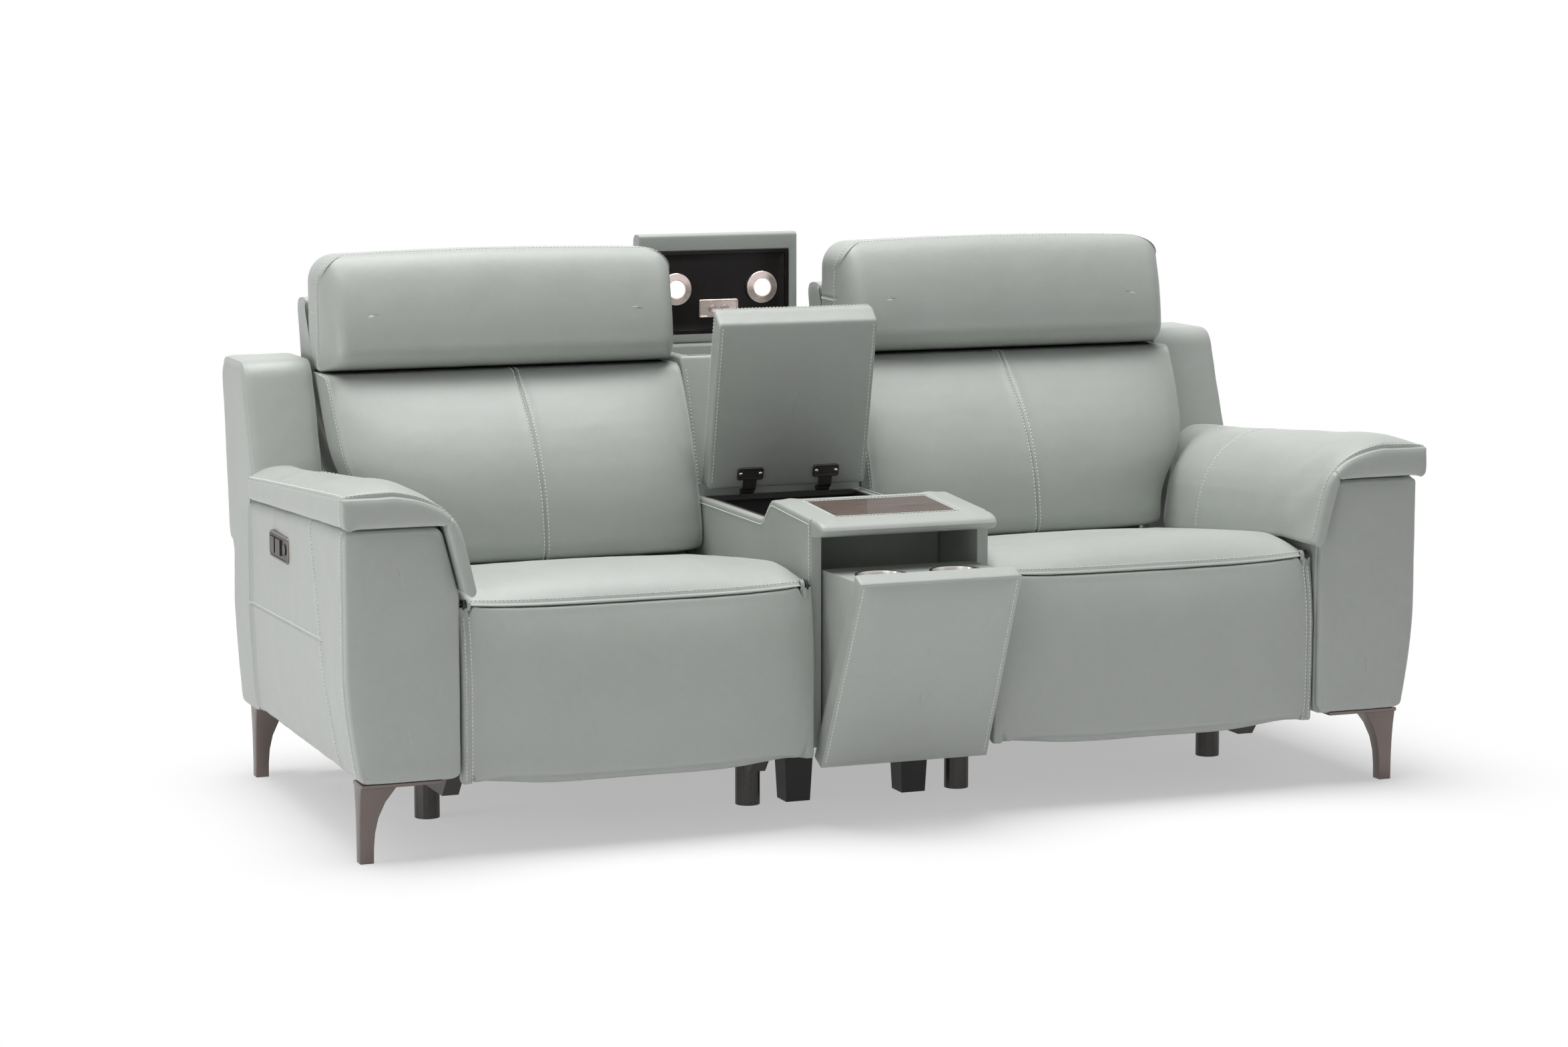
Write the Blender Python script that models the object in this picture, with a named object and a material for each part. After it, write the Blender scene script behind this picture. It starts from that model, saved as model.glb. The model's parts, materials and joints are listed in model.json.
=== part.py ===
"""Reclining loveseat with a storage console between its two seats.

Metres, +Z up. The model is laid out with y = 0 on the front of the arms and x = 0 on the
middle of the console, then moved so that the origin is under the middle of the whole piece.
"""
import math

import bmesh
import bpy
from mathutils import Matrix, Vector

# Clearances
FIT = 0.0003            # between faces that seat on each other
RUN = 0.0005            # round a pin in its hole
SWING = 0.002           # beside a part that turns or slides
SEW = 0.004             # between two covers that meet at the show side

# Floor and arms
BASE_Z = 0.138          # underside of the upholstery, which the legs hold up
ARM_INNER = 0.812       # inner face of an arm at its foot
ARM_INNER_TOP = 0.843   # inner face at the top of the front panel
ARM_WIDTH = 0.202
ARM_OUTER = ARM_INNER + ARM_WIDTH    # outer face at the front
ARM_TAPER = 0.022       # how much the outer face comes in towards the back
ARM_LENGTH = 0.742
ARM_TOP = 0.571         # top of the arm body at the front
ARM_FALL = 0.043        # how much the top drops towards the back
ARM_KNEE_Z = 0.330      # below this the outer face tucks in
ARM_TUCK = 0.024
ARM_EDGE = 0.012        # rounding of the front panel's edge

# Arm pads
PAD_FRONT = -0.028
PAD_OVERHANG = 0.003
PAD_EDGE_FRONT = 0.046  # height of the pad's outer band at the front
PAD_EDGE_BACK = 0.030
PAD_CROWN = 0.016
PAD_ROUND = 0.016
PAD_LIP = 0.010         # rounding of the pad's front
PAD_INNER_TOP = 0.804
PAD_INNER_LOW = 0.786
PAD_DROP_Z = 0.464      # lower end of the pad's inner side
PAD_DROP_END = 0.572    # the inner side stops here, to leave room for the back

# Wings behind the arms
WING_INNER = ARM_INNER + 0.038
WING_OUTER = ARM_OUTER - ARM_TAPER
WING_TOP = 0.778
WING_LEAN = 0.032       # how far the front face leans back
WING_LEAN_Z = 0.572
WING_DEPTH_TOP = 0.208  # depths behind the arm
WING_DEPTH_LOW = 0.166
WING_STEP_Z = 0.440
WING_DEPTH_FOOT = 0.116
WING_ROUND = 0.028

# Metal legs
LEG_MARGIN_FRONT = 0.033     # from a plate's inner end to the arm's inner face
LEG_MARGIN_REAR = 0.012      # and to the wing's inner face
LEG_PLATE_WIDTH = 0.056
LEG_PLATE_THICK = 0.007
LEG_FOOT = 0.024
LEG_FLARE = 0.062
LEG_INSET = 0.004       # from the arm's lower outer edge
LEG_FRONT_Y = 0.034
LEG_BACK_Y = ARM_LENGTH + 0.066

# Console
CONSOLE_HALF = 0.168
SIDE_WALL = 0.020
CONSOLE_FRONT = 0.036
SIDE_TOP = 0.510
BACKBOX_FOOT_Y = 0.622  # front of the back box below the lid
BACKBOX_TOP = 0.766
BACKBOX_LEAN = 0.083
BACKBOX_REAR_TOP = 0.964
BACKBOX_REAR_LOW = 0.872
WELL_DEPTH = 0.042      # recess in the back box that takes the lamps
WELL_RIM_FRONT = 0.034
WELL_RIM_REAR = 0.026
WELL_WALL = 0.022
TRAY_TOP_FRONT = 0.541
TRAY_TOP_REAR = 0.553
TRAY_NOSE = -0.012
TRAY_CREST_FRONT = 0.030
TRAY_CREST_REAR = 0.222
TRAY_FOOT_REAR = 0.259
TRAY_ROUND = 0.018
INLAY_HALF = 0.112
INLAY_FRONT = 0.056
INLAY_REAR = 0.190
INLAY_THICK = 0.003
TUB_FRONT = 0.262
TUB_FLOOR = 0.215
TUB_WALL = 0.006
SHELF_LAP = 0.003       # the hinge shelf's front, ahead of the lid's axis
RAIL_LAP = 0.001        # the hinge rail's front, ahead of the lid's axis
BOARD_THICK = 0.016
BOARD_FRONT = 0.215
BOARD_REAR = 0.850
FOOT_X = 0.113
FOOT_FRONT_Y = 0.258
FOOT_REAR_Y = 0.790
FOOT_TOP = 0.058
FOOT_TIP = 0.046

# Storage lid
LID_HALF = 0.158
LID_FRONT_LOW = 0.264
LID_FRONT_TOP = 0.229
LID_REAR = BACKBOX_FOOT_Y - 0.039
LID_THICK = 0.044
LID_ROUND = 0.010
LID_CROWN = 0.006
LID_AXIS = (BACKBOX_FOOT_Y - 0.030, SIDE_TOP + 0.010)
LID_OPEN = math.radians(78.0)
HINGE_X = 0.076
HINGE_WIDTH = 0.026
HINGE_BARREL = 0.0055
HINGE_LEAF = 0.0025
HINGE_REACH = 0.040

# Tilting cup drawer
DRAWER_AXIS = (0.048, 0.152)
DRAWER_OPEN = math.radians(25.0)
DRAWER_LOW = 0.126
DRAWER_FACE = -0.004
DRAWER_TOP = 0.506
DRAWER_FRONT_THICK = 0.034
DRAWER_HALF_LOW = 0.158
DRAWER_HALF_TOP = 0.150
DRAWER_BODY_HALF = 0.1445
DRAWER_DEPTH = 0.196    # front to back along the cup deck
DRAWER_HEEL = 0.070
DRAWER_PIN = 0.006
DRAWER_LIP = 0.0015     # the padded front stands this much above the cup deck
CUP_X = 0.070
CUP_RADIUS = 0.0435
CUP_FLANGE = 0.0475
CUP_FLANGE_THICK = 0.0016
CUP_WALL = 0.0014
CUP_DEPTH = 0.062

# Light lid
LIGHT_HALF = 0.164
LIGHT_LENGTH = 0.205
LIGHT_THICK = 0.036
LIGHT_AXIS = (0.955, 0.7748)
LIGHT_BARREL = 0.0085   # rounded heel that rolls on the box
LIGHT_OPEN = math.radians(90.0)
PANEL_HALF = 0.147
PANEL_NEAR = 0.010      # from the hinge axis to the panel's near edge
PANEL_FAR = 0.172
PANEL_THICK = 0.005
PLATE_HALF = 0.0405
PLATE_WIDTH = 0.035
PLATE_THICK = 0.003
PLATE_OUT = 0.0585      # from the hinge axis to the button plate's middle
LAMP_X = 0.089
LAMP_OUT = 0.098
LAMP_RADIUS = 0.032
LAMP_HEIGHT = 0.010
LAMP_LENS = 0.0175
BUTTON_X = 0.0125
BUTTON_RADIUS = 0.0073
BUTTON_PROUD = 0.003
BUTTON_TRAVEL = 0.002

# Seats
SEAT_GAP = 0.006
SEAT_X = (CONSOLE_HALF + ARM_INNER) / 2
SEAT_HALF = (ARM_INNER - CONSOLE_HALF) / 2 - SEAT_GAP
DECK_TOP = 0.345
DECK_THICK = 0.015
DECK_FRONT = 0.116
DECK_REAR = 0.570
DECK_INSET = 0.0035     # the deck is narrower than the cushion
DECK_HALF = SEAT_HALF - DECK_INSET
SEAT_LIP = 0.036        # front edge of the seat cover over the footrest
SEAT_LIP_Z = 0.440      # underside of that cover
SEAT_LINE = 0.4665      # seat height at the lip, before the front roll
SEAT_SLOPE = 0.102
SEAT_ROLL = 0.022
SEAT_ROLL_DEPTH = 0.090
SEAT_CROWN = 0.016
SEAT_SIDE_DROP = 0.010
SEAT_PULL = 0.005

# Footrests
FOOT_HINGE = (0.030, 0.428)
FOOT_PAD_INSET = 0.020
FOOT_PAD_HALF = SEAT_HALF - FOOT_PAD_INSET
FOOT_PAD_LOW = 0.124
FOOT_PAD_FACE = 0.020
FOOT_PAD_BACK = 0.062
FOOT_CROWN = 0.016
FOOT_ROUND = 0.014
FOOT_BOARD_THICK = 0.015
FOOT_BOARD_LOW = 0.142
EAR_THICK = 0.006
EAR_BOSS = 0.010
EAR_PIN = 0.006
EAR_ROOT = 0.006        # half the height of the ear at the deck
EAR_NECK = 0.007
EAR_FORWARD = 0.012     # the ear turns up this far in front of the deck
EAR_GRIP = 0.020        # and is fastened this far along it
LUG_DROP = (0.065, -0.113)   # from the hinge to the link's pin on the footrest

# Recline mechanism
TUBE_AXIS = (0.220, 0.300)
TUBE_RADIUS = 0.012
CRANK_THICK = 0.008
LINK_THICK = 0.006
LINK_BOSS = 0.012
LINK_PIN = 0.005
PLATE_INSET = 0.0275    # from the deck's side to the middle of a carriage plate
PLATE_X = DECK_HALF - PLATE_INSET
CARRIAGE_PLATE = 0.008
CARRIAGE_FRONT = 0.140
CARRIAGE_HEEL = 0.022   # the plates run this far past the back's hinge
CARRIAGE_EAR = 0.018    # and this far above it
CARRIAGE_RAKE = 0.020
CARRIAGE_NECK = 0.030   # the plates' rear edge starts this far below the hinge
RAIL_TOP = 0.140
RAIL_LOW = 0.068
RAIL_WIDTH = 0.030
RAIL_FRONT = 0.200
RAIL_RAKE = 0.060       # the rails' tops start this much further forward
CROSS_Y = 0.420
CROSS_WIDTH = 0.030
CROSS_TOP = 0.100
TAB_WIDTH = 0.020       # tabs that bolt the cross bar to its neighbours
TAB_DEPTH = 0.024
TAB_LOW = 0.078
TAB_TOP = 0.170
REAR_BOARD_Y = ARM_LENGTH + 0.070
REAR_BOARD_THICK = 0.018
REAR_BOARD_TOP = 0.296
GLIDE_RADIUS = 0.0225
GLIDE_IN_Y = 0.250      # glides beside the console
GLIDE_OUT_Y = 0.350     # glides beside the arms
GLIDE_OUT_X = PLATE_X - 0.001
ROD_Z = 0.178
ROD_RADIUS = 0.009
ROD_PLATE_Y = 0.470
ROD_PLATE_THICK = 0.010
ROD_PLATE_HALF = 0.030
ROD_TIP = 0.735
ROD_ROOM = 0.010        # left between the rod's tip and the end of its bore
HOUSING_RADIUS = 0.024
HOUSING_FRONT = 0.540
MOTOR_RADIUS = 0.022
MOTOR_REACH = 0.105
MOTOR_Y = 0.770

# Backs
BACK_AXIS = (0.600, 0.365)
BACK_INNER = 0.175      # console side of the back
BACK_OUTER = 0.838
BACK_OUTER_LOW = 0.780  # narrower below, between the arm pads
BACK_NARROW_Z = 0.550
BACK_WIDE_Z = 0.640
BACK_LOW = (0.548, 0.430)    # front line of the cushion at its sides
BACK_HIGH = (0.705, 0.7512)
BACK_CROWN = 0.044
BACK_SEAM = 0.006
BACK_ROUND = 0.022
SHELL_LOW = (0.646, 0.4255)  # front of the shell, behind the cushion
SHELL_HIGH = (0.790, 0.752)
SHELL_TOP = 0.884
SHELL_HEAD_Y = 0.862
SHELL_REAR_TOP = 0.928
SHELL_REAR_LOW = (0.800, 0.314)
SHELL_TOE = (0.662, 0.338)
SHELL_ROUND = 0.016
SHELL_SKIRT = 0.012     # the shell's front runs this far below the cushion
SHELF_THICK = 0.008
NECK_RADIUS = 0.018
NECK_REACH = 0.030      # how far the neck runs into the shell
BACK_PIN = 0.008

# Headrests
HEAD_AXIS = (0.712, 0.756)
HEAD_FACE_LOW = 0.702
HEAD_FACE_TOP = 0.722
HEAD_BACK = 0.856
HEAD_TOP = 0.968
HEAD_ROUND = 0.036
HEAD_CHIN = 0.014
HEAD_CROWN = 0.022
HEAD_TOP_CROWN = 0.010
HEAD_SIDE_ROUND = 0.020

# Controls on the outer side of each arm
BEZEL_Y = 0.475
BEZEL_Z = 0.478
BEZEL_LENGTH = 0.132
BEZEL_HEIGHT = 0.048
BEZEL_DEPTH = 0.018
BEZEL_PROUD = 0.003
KEY_PITCH = 0.041
HOME_RADIUS = 0.010
ROCKER_LENGTH = 0.032
ROCKER_HEIGHT = 0.028
ROCKER_THICK = 0.006
KEY_POCKET = 0.011
KEY_LENGTH = 0.010

# Finishes: colour, roughness, metallic
LEATHER = ((0.41, 0.44, 0.41), 0.42, 0.0)
BRONZE = ((0.22, 0.19, 0.16), 0.30, 1.0)
BLACK = ((0.02, 0.02, 0.02), 0.45, 0.0)
GLOSS = ((0.012, 0.012, 0.013), 0.12, 0.0)
STEEL = ((0.62, 0.60, 0.58), 0.22, 1.0)
ROSE = ((0.60, 0.50, 0.47), 0.28, 1.0)
WOOD = ((0.075, 0.035, 0.020), 0.35, 0.0)
BOARD = ((0.30, 0.22, 0.14), 0.65, 0.0)
DARK_STEEL = ((0.06, 0.06, 0.065), 0.45, 0.8)

# Facets
ROUND_SIDES = 16
PIN_SIDES = 12
CUP_SIDES = 32
LAMP_SIDES = 24
ARC_STEPS = 3
TUCK_STEPS = 4
FLARE_STEPS = 5

SIDES = (("left", -1.0), ("right", 1.0))


def clear_scene():
    """Empty the file."""
    for old in list(bpy.data.objects):
        bpy.data.objects.remove(old, do_unlink=True)


def vec(y, z, x=0.0):
    """A point given as its place in the side view, and how far out it is."""
    return Vector((x, y, z))


def pivot(name, at, parent=None, turn=0.0):
    """Empty at a point of the model, which its pieces follow; turn is about X."""
    empty = bpy.data.objects.new(name, None)
    bpy.context.collection.objects.link(empty)
    empty["at"] = tuple(at)
    base = Vector(parent["at"]) if parent else Vector()
    empty.parent = parent
    empty.location = Vector(at) - base
    empty.rotation_euler = (turn, 0.0, 0.0)
    return empty


def paint(obj, look):
    """Give an object its own material."""
    colour, roughness, metallic = look
    material = bpy.data.materials.new(obj.name + "_finish")
    material.use_nodes = True
    shader = material.node_tree.nodes["Principled BSDF"]
    shader.inputs["Base Color"].default_value = (*colour, 1.0)
    shader.inputs["Roughness"].default_value = roughness
    shader.inputs["Metallic"].default_value = metallic
    obj.data.materials.append(material)


def solid(name, points, faces, parent, look=None, turn=None):
    """Closed mesh from points in the model's frame, held by an empty."""
    mesh = bpy.data.meshes.new(name)
    mesh.from_pydata([tuple(point) for point in points], [], faces)
    shape = bmesh.new()
    shape.from_mesh(mesh)
    if turn:
        shape.transform(turn)
    bmesh.ops.recalc_face_normals(shape, faces=shape.faces)
    shape.to_mesh(mesh)
    shape.free()
    obj = bpy.data.objects.new(name, mesh)
    bpy.context.collection.objects.link(obj)
    obj.parent = parent
    obj.location = -Vector(parent["at"])
    if look:
        paint(obj, look)
        mesh.shade_smooth()
        mesh.set_sharp_from_angle(angle=math.radians(35.0))
    else:
        obj.hide_render = True
        obj.display_type = "WIRE"
    return obj


def loft(name, rings, parent, look=None, turn=None):
    """Solid through a row of closed rings with the same number of points."""
    count = len(rings[0])
    points = [point for ring in rings for point in ring]
    faces = []
    for row in range(len(rings) - 1):
        for k in range(count):
            near = row * count + k
            side = row * count + (k + 1) % count
            faces.append((near, side, side + count, near + count))
    faces.append(tuple(range(count)))
    faces.append(tuple(range(len(points) - count, len(points))))
    return solid(name, points, faces, parent, look, turn)


def prism(name, outline, axis, low, high, parent, look=None, turn=None):
    """Outline pushed along X, Y or Z; it is given as (y, z), (x, z) or (x, y)."""
    slot = "XYZ".index(axis)
    rings = []
    for level in (low, high):
        ring = []
        for point in outline:
            place = list(point[:2])
            place.insert(slot, level)
            ring.append(Vector(place))
        rings.append(ring)
    return loft(name, rings, parent, look, turn)


def block(name, low, high, parent, look=None, turn=None):
    """Box between two corners."""
    outline = [(low[0], low[1]), (high[0], low[1]), (high[0], high[1]), (low[0], high[1])]
    return prism(name, outline, "Z", low[2], high[2], parent, look, turn)


def circle(centre, radius, sides=ROUND_SIDES):
    """Round outline."""
    step = 2 * math.pi / sides
    angles = [(k + 0.5) * step for k in range(sides)]
    return [(centre[0] + radius * math.cos(a), centre[1] + radius * math.sin(a)) for a in angles]


def rounded(corners, steps=ARC_STEPS):
    """Closed outline from (u, v, radius) corners, each turned by an arc."""
    points = []
    for k, (u, v, radius) in enumerate(corners):
        here = Vector((u, v))
        if radius <= 0.0:
            points.append(here)
            continue
        before = (Vector(corners[k - 1][:2]) - here).normalized()
        after = (Vector(corners[(k + 1) % len(corners)][:2]) - here).normalized()
        half = before.angle(after) / 2
        centre = here + (before + after).normalized() * radius / math.sin(half)
        start = here + before * radius / math.tan(half) - centre
        end = here + after * radius / math.tan(half) - centre
        for step in range(steps + 1):
            points.append(centre + start.lerp(end, step / steps).normalized() * radius)
    return points


def bar(start, end, radius_start, radius_end, steps=6):
    """Outline of a flat bar with round ends."""
    along = (Vector(end) - Vector(start)).normalized()
    across = Vector((-along.y, along.x))
    points = []
    for centre, radius, forward in ((start, radius_start, -along), (end, radius_end, along)):
        first = across if forward == -along else -across
        for step in range(steps + 1):
            angle = math.pi * step / steps
            offset = first * math.cos(angle) + forward * math.sin(angle)
            points.append(Vector(centre) + offset * radius)
    return points


def combine(obj, tool, operation):
    """Boolean of an object with another, which is then only a tool."""
    modifier = obj.modifiers.new(operation.lower(), "BOOLEAN")
    modifier.operation = operation
    modifier.object = tool
    modifier.solver = "EXACT"


def join(obj, *tools):
    """Fuse tools to an object."""
    for tool in tools:
        combine(obj, tool, "UNION")


def cut(obj, *tools):
    """Take tools out of an object."""
    for tool in tools:
        combine(obj, tool, "DIFFERENCE")


def arm_outer(y):
    """Outer face of an arm at a depth."""
    return ARM_OUTER - ARM_TAPER * y / ARM_LENGTH


def arm_top(y):
    """Top of the arm body at a depth."""
    return ARM_TOP - ARM_FALL * y / ARM_LENGTH


def arm_inner(z, y):
    """Inner face of an arm at a height."""
    share = (z - BASE_Z) / (arm_top(y) - BASE_Z)
    return ARM_INNER + (ARM_INNER_TOP - ARM_INNER) * share


def arm_ring(side, y, inset):
    """Section of an arm body across its length."""
    top = arm_top(y) - inset
    outer = arm_outer(y) - inset
    points = [
        (arm_inner(BASE_Z, y) + inset, BASE_Z + inset),
        (arm_inner(arm_top(y), y) + inset, top),
        (outer, top),
    ]
    for step in range(TUCK_STEPS + 1):
        share = step / TUCK_STEPS
        low = BASE_Z + inset
        points.append((outer - ARM_TUCK * share ** 1.6, ARM_KNEE_Z + (low - ARM_KNEE_Z) * share))
    return [vec(y, z, side * x) for x, z in points]


def build_arm(name, side, frame):
    """Arm body with the pocket for its control plate."""
    stations = ((0.0, ARM_EDGE), (ARM_EDGE * 0.3, ARM_EDGE * 0.3), (ARM_EDGE, 0.0), (ARM_LENGTH, 0.0))
    rings = [arm_ring(side, y, inset) for y, inset in stations]
    arm = loft(name + "_arm", rings, frame, LEATHER)
    inner = side * (arm_outer(BEZEL_Y) + BEZEL_PROUD - BEZEL_DEPTH)
    outer = side * (ARM_OUTER + BEZEL_DEPTH)
    low = (min(inner, outer), BEZEL_Y - BEZEL_LENGTH / 2 - FIT, BEZEL_Z - BEZEL_HEIGHT / 2 - FIT)
    high = (max(inner, outer), BEZEL_Y + BEZEL_LENGTH / 2 + FIT, BEZEL_Z + BEZEL_HEIGHT / 2 + FIT)
    cut(arm, block(name + "_bezel_pocket", low, high, frame))


def pad_ring(side, y, inset, inner, hangs):
    """Section of an arm pad: a crowned top, an outer band and an inner side that may hang down."""
    under = arm_top(y) + FIT
    share = (y - PAD_FRONT) / (ARM_LENGTH - PAD_FRONT)
    edge = under + PAD_EDGE_FRONT + (PAD_EDGE_BACK - PAD_EDGE_FRONT) * share - inset
    outer = arm_outer(y) + PAD_OVERHANG - inset
    inner += inset
    corner = arm_inner(under, y) - FIT
    if hangs:
        hem = PAD_DROP_Z + inset
        tail = [
            (PAD_INNER_LOW + inset, hem, PAD_ROUND * 0.5),
            (arm_inner(PAD_DROP_Z, y) - FIT - inset, hem, 0.0),
            (corner, under, 0.0),
        ]
    else:
        tail = [
            (inner, under, PAD_ROUND * 0.5),
            (inner + PAD_ROUND, under, 0.0),
            (max(corner, inner + PAD_ROUND * 2), under, 0.0),
        ]
    corners = [(outer, under, 0.0), (outer, edge, PAD_ROUND)]
    span = outer - inner
    for step in range(1, 6):
        across = step / 6
        crown = PAD_CROWN * math.sin(math.pi * across) ** 0.8
        corners.append((outer - span * across, edge + crown, 0.0))
    corners.append((inner, edge, PAD_ROUND))
    return [vec(y, z, side * x) for x, z in rounded(corners + tail)]


def build_arm_pad(name, side, frame):
    """Padded top of an arm."""
    narrow = ARM_INNER_TOP + SEW
    stations = (
        (PAD_FRONT, PAD_LIP, PAD_INNER_TOP, True),
        (PAD_FRONT + PAD_LIP * 0.3, PAD_LIP * 0.3, PAD_INNER_TOP, True),
        (PAD_FRONT + PAD_LIP, 0.0, PAD_INNER_TOP, True),
        (PAD_DROP_END / 2, 0.0, PAD_INNER_TOP, True),
        (PAD_DROP_END - PAD_LIP * 2, 0.0, PAD_INNER_TOP, True),
        (PAD_DROP_END - PAD_LIP, 0.0, PAD_INNER_TOP, False),
        (PAD_DROP_END, 0.0, narrow, False),
        (ARM_LENGTH - FIT, 0.0, narrow, False),
    )
    rings = [pad_ring(side, *station) for station in stations]
    loft(name + "_arm_pad", rings, frame, LEATHER)


def wing_outline(inset):
    """Side view of a wing, which stands behind the arm down to its foot."""
    front = ARM_LENGTH + FIT + inset
    return rounded([
        (front, BASE_Z, 0.0),
        (front, WING_LEAN_Z, 0.0),
        (front + WING_LEAN, WING_TOP - inset, WING_ROUND),
        (ARM_LENGTH + WING_DEPTH_TOP - inset, WING_TOP - inset, WING_ROUND),
        (ARM_LENGTH + WING_DEPTH_LOW - inset, WING_STEP_Z, 0.0),
        (ARM_LENGTH + WING_DEPTH_FOOT - inset, WING_STEP_Z, 0.0),
        (ARM_LENGTH + WING_DEPTH_FOOT - inset, BASE_Z, 0.0),
    ])


def build_wing(name, side, frame):
    """Wing beside the back."""
    soft = WING_ROUND * 0.5
    stations = (
        (WING_INNER, soft), (WING_INNER + soft, 0.0), (WING_OUTER - soft, 0.0),
        (WING_OUTER - soft * 0.3, soft * 0.3), (WING_OUTER, soft),
    )
    rings = [[vec(y, z, side * x) for y, z in wing_outline(inset)] for x, inset in stations]
    loft(name + "_wing", rings, frame, LEATHER)


def leg_ring(side, centre_y, z, width, depth, outer):
    """Rectangular section of a leg, flush with its outer edge."""
    inner = outer - width
    corners = [(outer, -depth / 2), (outer, depth / 2), (inner, depth / 2), (inner, -depth / 2)]
    return [vec(centre_y + dy, z, side * x) for x, dy in corners]


def build_leg(name, side, centre_y, outer, plate, frame):
    """Blade leg that flares into its mounting plate."""
    top = BASE_Z - FIT
    neck = top - LEG_PLATE_THICK
    rings = []
    for step in range(FLARE_STEPS + 1):
        share = step / FLARE_STEPS
        flare = share ** 3
        width = LEG_FOOT + (LEG_FLARE - LEG_FOOT) * flare
        depth = LEG_FOOT + (LEG_PLATE_WIDTH * 0.8 - LEG_FOOT) * flare
        rings.append(leg_ring(side, centre_y, neck * share, width, depth, outer))
    rings.append(leg_ring(side, centre_y, neck + FIT, plate, LEG_PLATE_WIDTH, outer))
    rings.append(leg_ring(side, centre_y, top, plate, LEG_PLATE_WIDTH, outer))
    loft(name, rings, frame, BRONZE)


def build_controls(name, side, frame):
    """Control plate on the outer side of an arm, with a home button and two rockers."""
    face = arm_outer(BEZEL_Y) + BEZEL_PROUD
    rear = face - BEZEL_DEPTH + FIT
    low = (min(side * rear, side * face), BEZEL_Y - BEZEL_LENGTH / 2, BEZEL_Z - BEZEL_HEIGHT / 2)
    high = (max(side * rear, side * face), BEZEL_Y + BEZEL_LENGTH / 2, BEZEL_Z + BEZEL_HEIGHT / 2)
    bezel = block(name + "_control_bezel", low, high, frame, GLOSS)
    floor = face - KEY_POCKET
    reach = sorted((side * floor, side * (face + BEZEL_DEPTH)))
    key_back = face - KEY_LENGTH + BUTTON_TRAVEL
    key_face = face + BUTTON_TRAVEL
    home_y = BEZEL_Y - KEY_PITCH
    hole = circle((home_y, BEZEL_Z), HOME_RADIUS + RUN)
    cut(bezel, prism(name + "_home_pocket", hole, "X", reach[0], reach[1], frame))
    home = pivot(name + "_home_axis", vec(home_y, BEZEL_Z, side * face), frame)
    ends = sorted((side * (key_back + BUTTON_TRAVEL), side * key_face))
    prism(name + "_home_button", circle((home_y, BEZEL_Z), HOME_RADIUS), "X", ends[0], ends[1], home, STEEL)
    for index, label in enumerate(("back", "head")):
        centre = BEZEL_Y + KEY_PITCH * index
        room = (ROCKER_LENGTH / 2 + RUN, ROCKER_HEIGHT / 2 + RUN * 2)
        low = (reach[0], centre - room[0], BEZEL_Z - room[1])
        high = (reach[1], centre + room[0], BEZEL_Z + room[1])
        cut(bezel, block(name + "_" + label + "_pocket", low, high, frame))
        axis = pivot(name + "_" + label + "_axis", vec(centre, BEZEL_Z, side * face), frame)
        ends = sorted((side * (face - ROCKER_THICK / 2), side * (face + ROCKER_THICK / 2)))
        low = (ends[0], centre - ROCKER_LENGTH / 2, BEZEL_Z - ROCKER_HEIGHT / 2)
        high = (ends[1], centre + ROCKER_LENGTH / 2, BEZEL_Z + ROCKER_HEIGHT / 2)
        block(name + "_" + label + "_rocker", low, high, axis, STEEL)


def backbox_front(z):
    """Front face of the console's back box at a height."""
    share = max(0.0, (z - SIDE_TOP) / (BACKBOX_TOP - SIDE_TOP))
    return BACKBOX_FOOT_Y + BACKBOX_LEAN * share


def build_console(frame):
    """Fixed parts of the console."""
    inner = CONSOLE_HALF - SIDE_WALL
    for label, side in SIDES:
        outline = [
            (CONSOLE_FRONT, BASE_Z), (CONSOLE_FRONT, SIDE_TOP),
            (BACKBOX_FOOT_Y - FIT, SIDE_TOP), (BACKBOX_FOOT_Y - FIT, BASE_Z),
        ]
        ends = sorted((side * inner, side * CONSOLE_HALF))
        wall = prism("console_" + label + "_side", outline, "X", ends[0], ends[1], frame, LEATHER)
        hole = circle(DRAWER_AXIS, DRAWER_PIN + RUN, PIN_SIDES)
        cut(wall, prism("drawer_pin_hole", hole, "X", ends[0] - FIT, ends[1] + FIT, frame))
    build_back_box(frame)
    build_tray(frame)
    build_tub(frame)
    build_base_board(frame)


def build_back_box(frame):
    """Upright box behind the storage lid, with the recess for the light lid on top."""
    outline = [
        (BACKBOX_FOOT_Y, BASE_Z), (BACKBOX_FOOT_Y, SIDE_TOP),
        (backbox_front(BACKBOX_TOP), BACKBOX_TOP), (BACKBOX_REAR_TOP, BACKBOX_TOP),
        (BACKBOX_REAR_LOW, BASE_Z),
    ]
    box = prism("console_back_box", outline, "X", -CONSOLE_HALF, CONSOLE_HALF, frame, LEATHER)
    half = CONSOLE_HALF - WELL_WALL
    low = (-half, backbox_front(BACKBOX_TOP) + WELL_RIM_FRONT, BACKBOX_TOP - WELL_DEPTH)
    high = (half, BACKBOX_REAR_TOP - WELL_RIM_REAR, BACKBOX_TOP + WELL_DEPTH)
    cut(box, block("light_well", low, high, frame))


def tray_outline():
    """Side view of the tray with its rolled front."""
    low = SIDE_TOP + FIT
    return rounded([
        (TRAY_CREST_FRONT, low, 0.0),
        (TRAY_NOSE, low, TRAY_ROUND * 0.7),
        (TRAY_NOSE, TRAY_TOP_FRONT, TRAY_ROUND),
        (TRAY_CREST_FRONT, TRAY_TOP_FRONT, 0.0),
        (TRAY_CREST_REAR, TRAY_TOP_REAR, TRAY_ROUND * 0.4),
        (TRAY_FOOT_REAR, low, 0.0),
    ])


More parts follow.
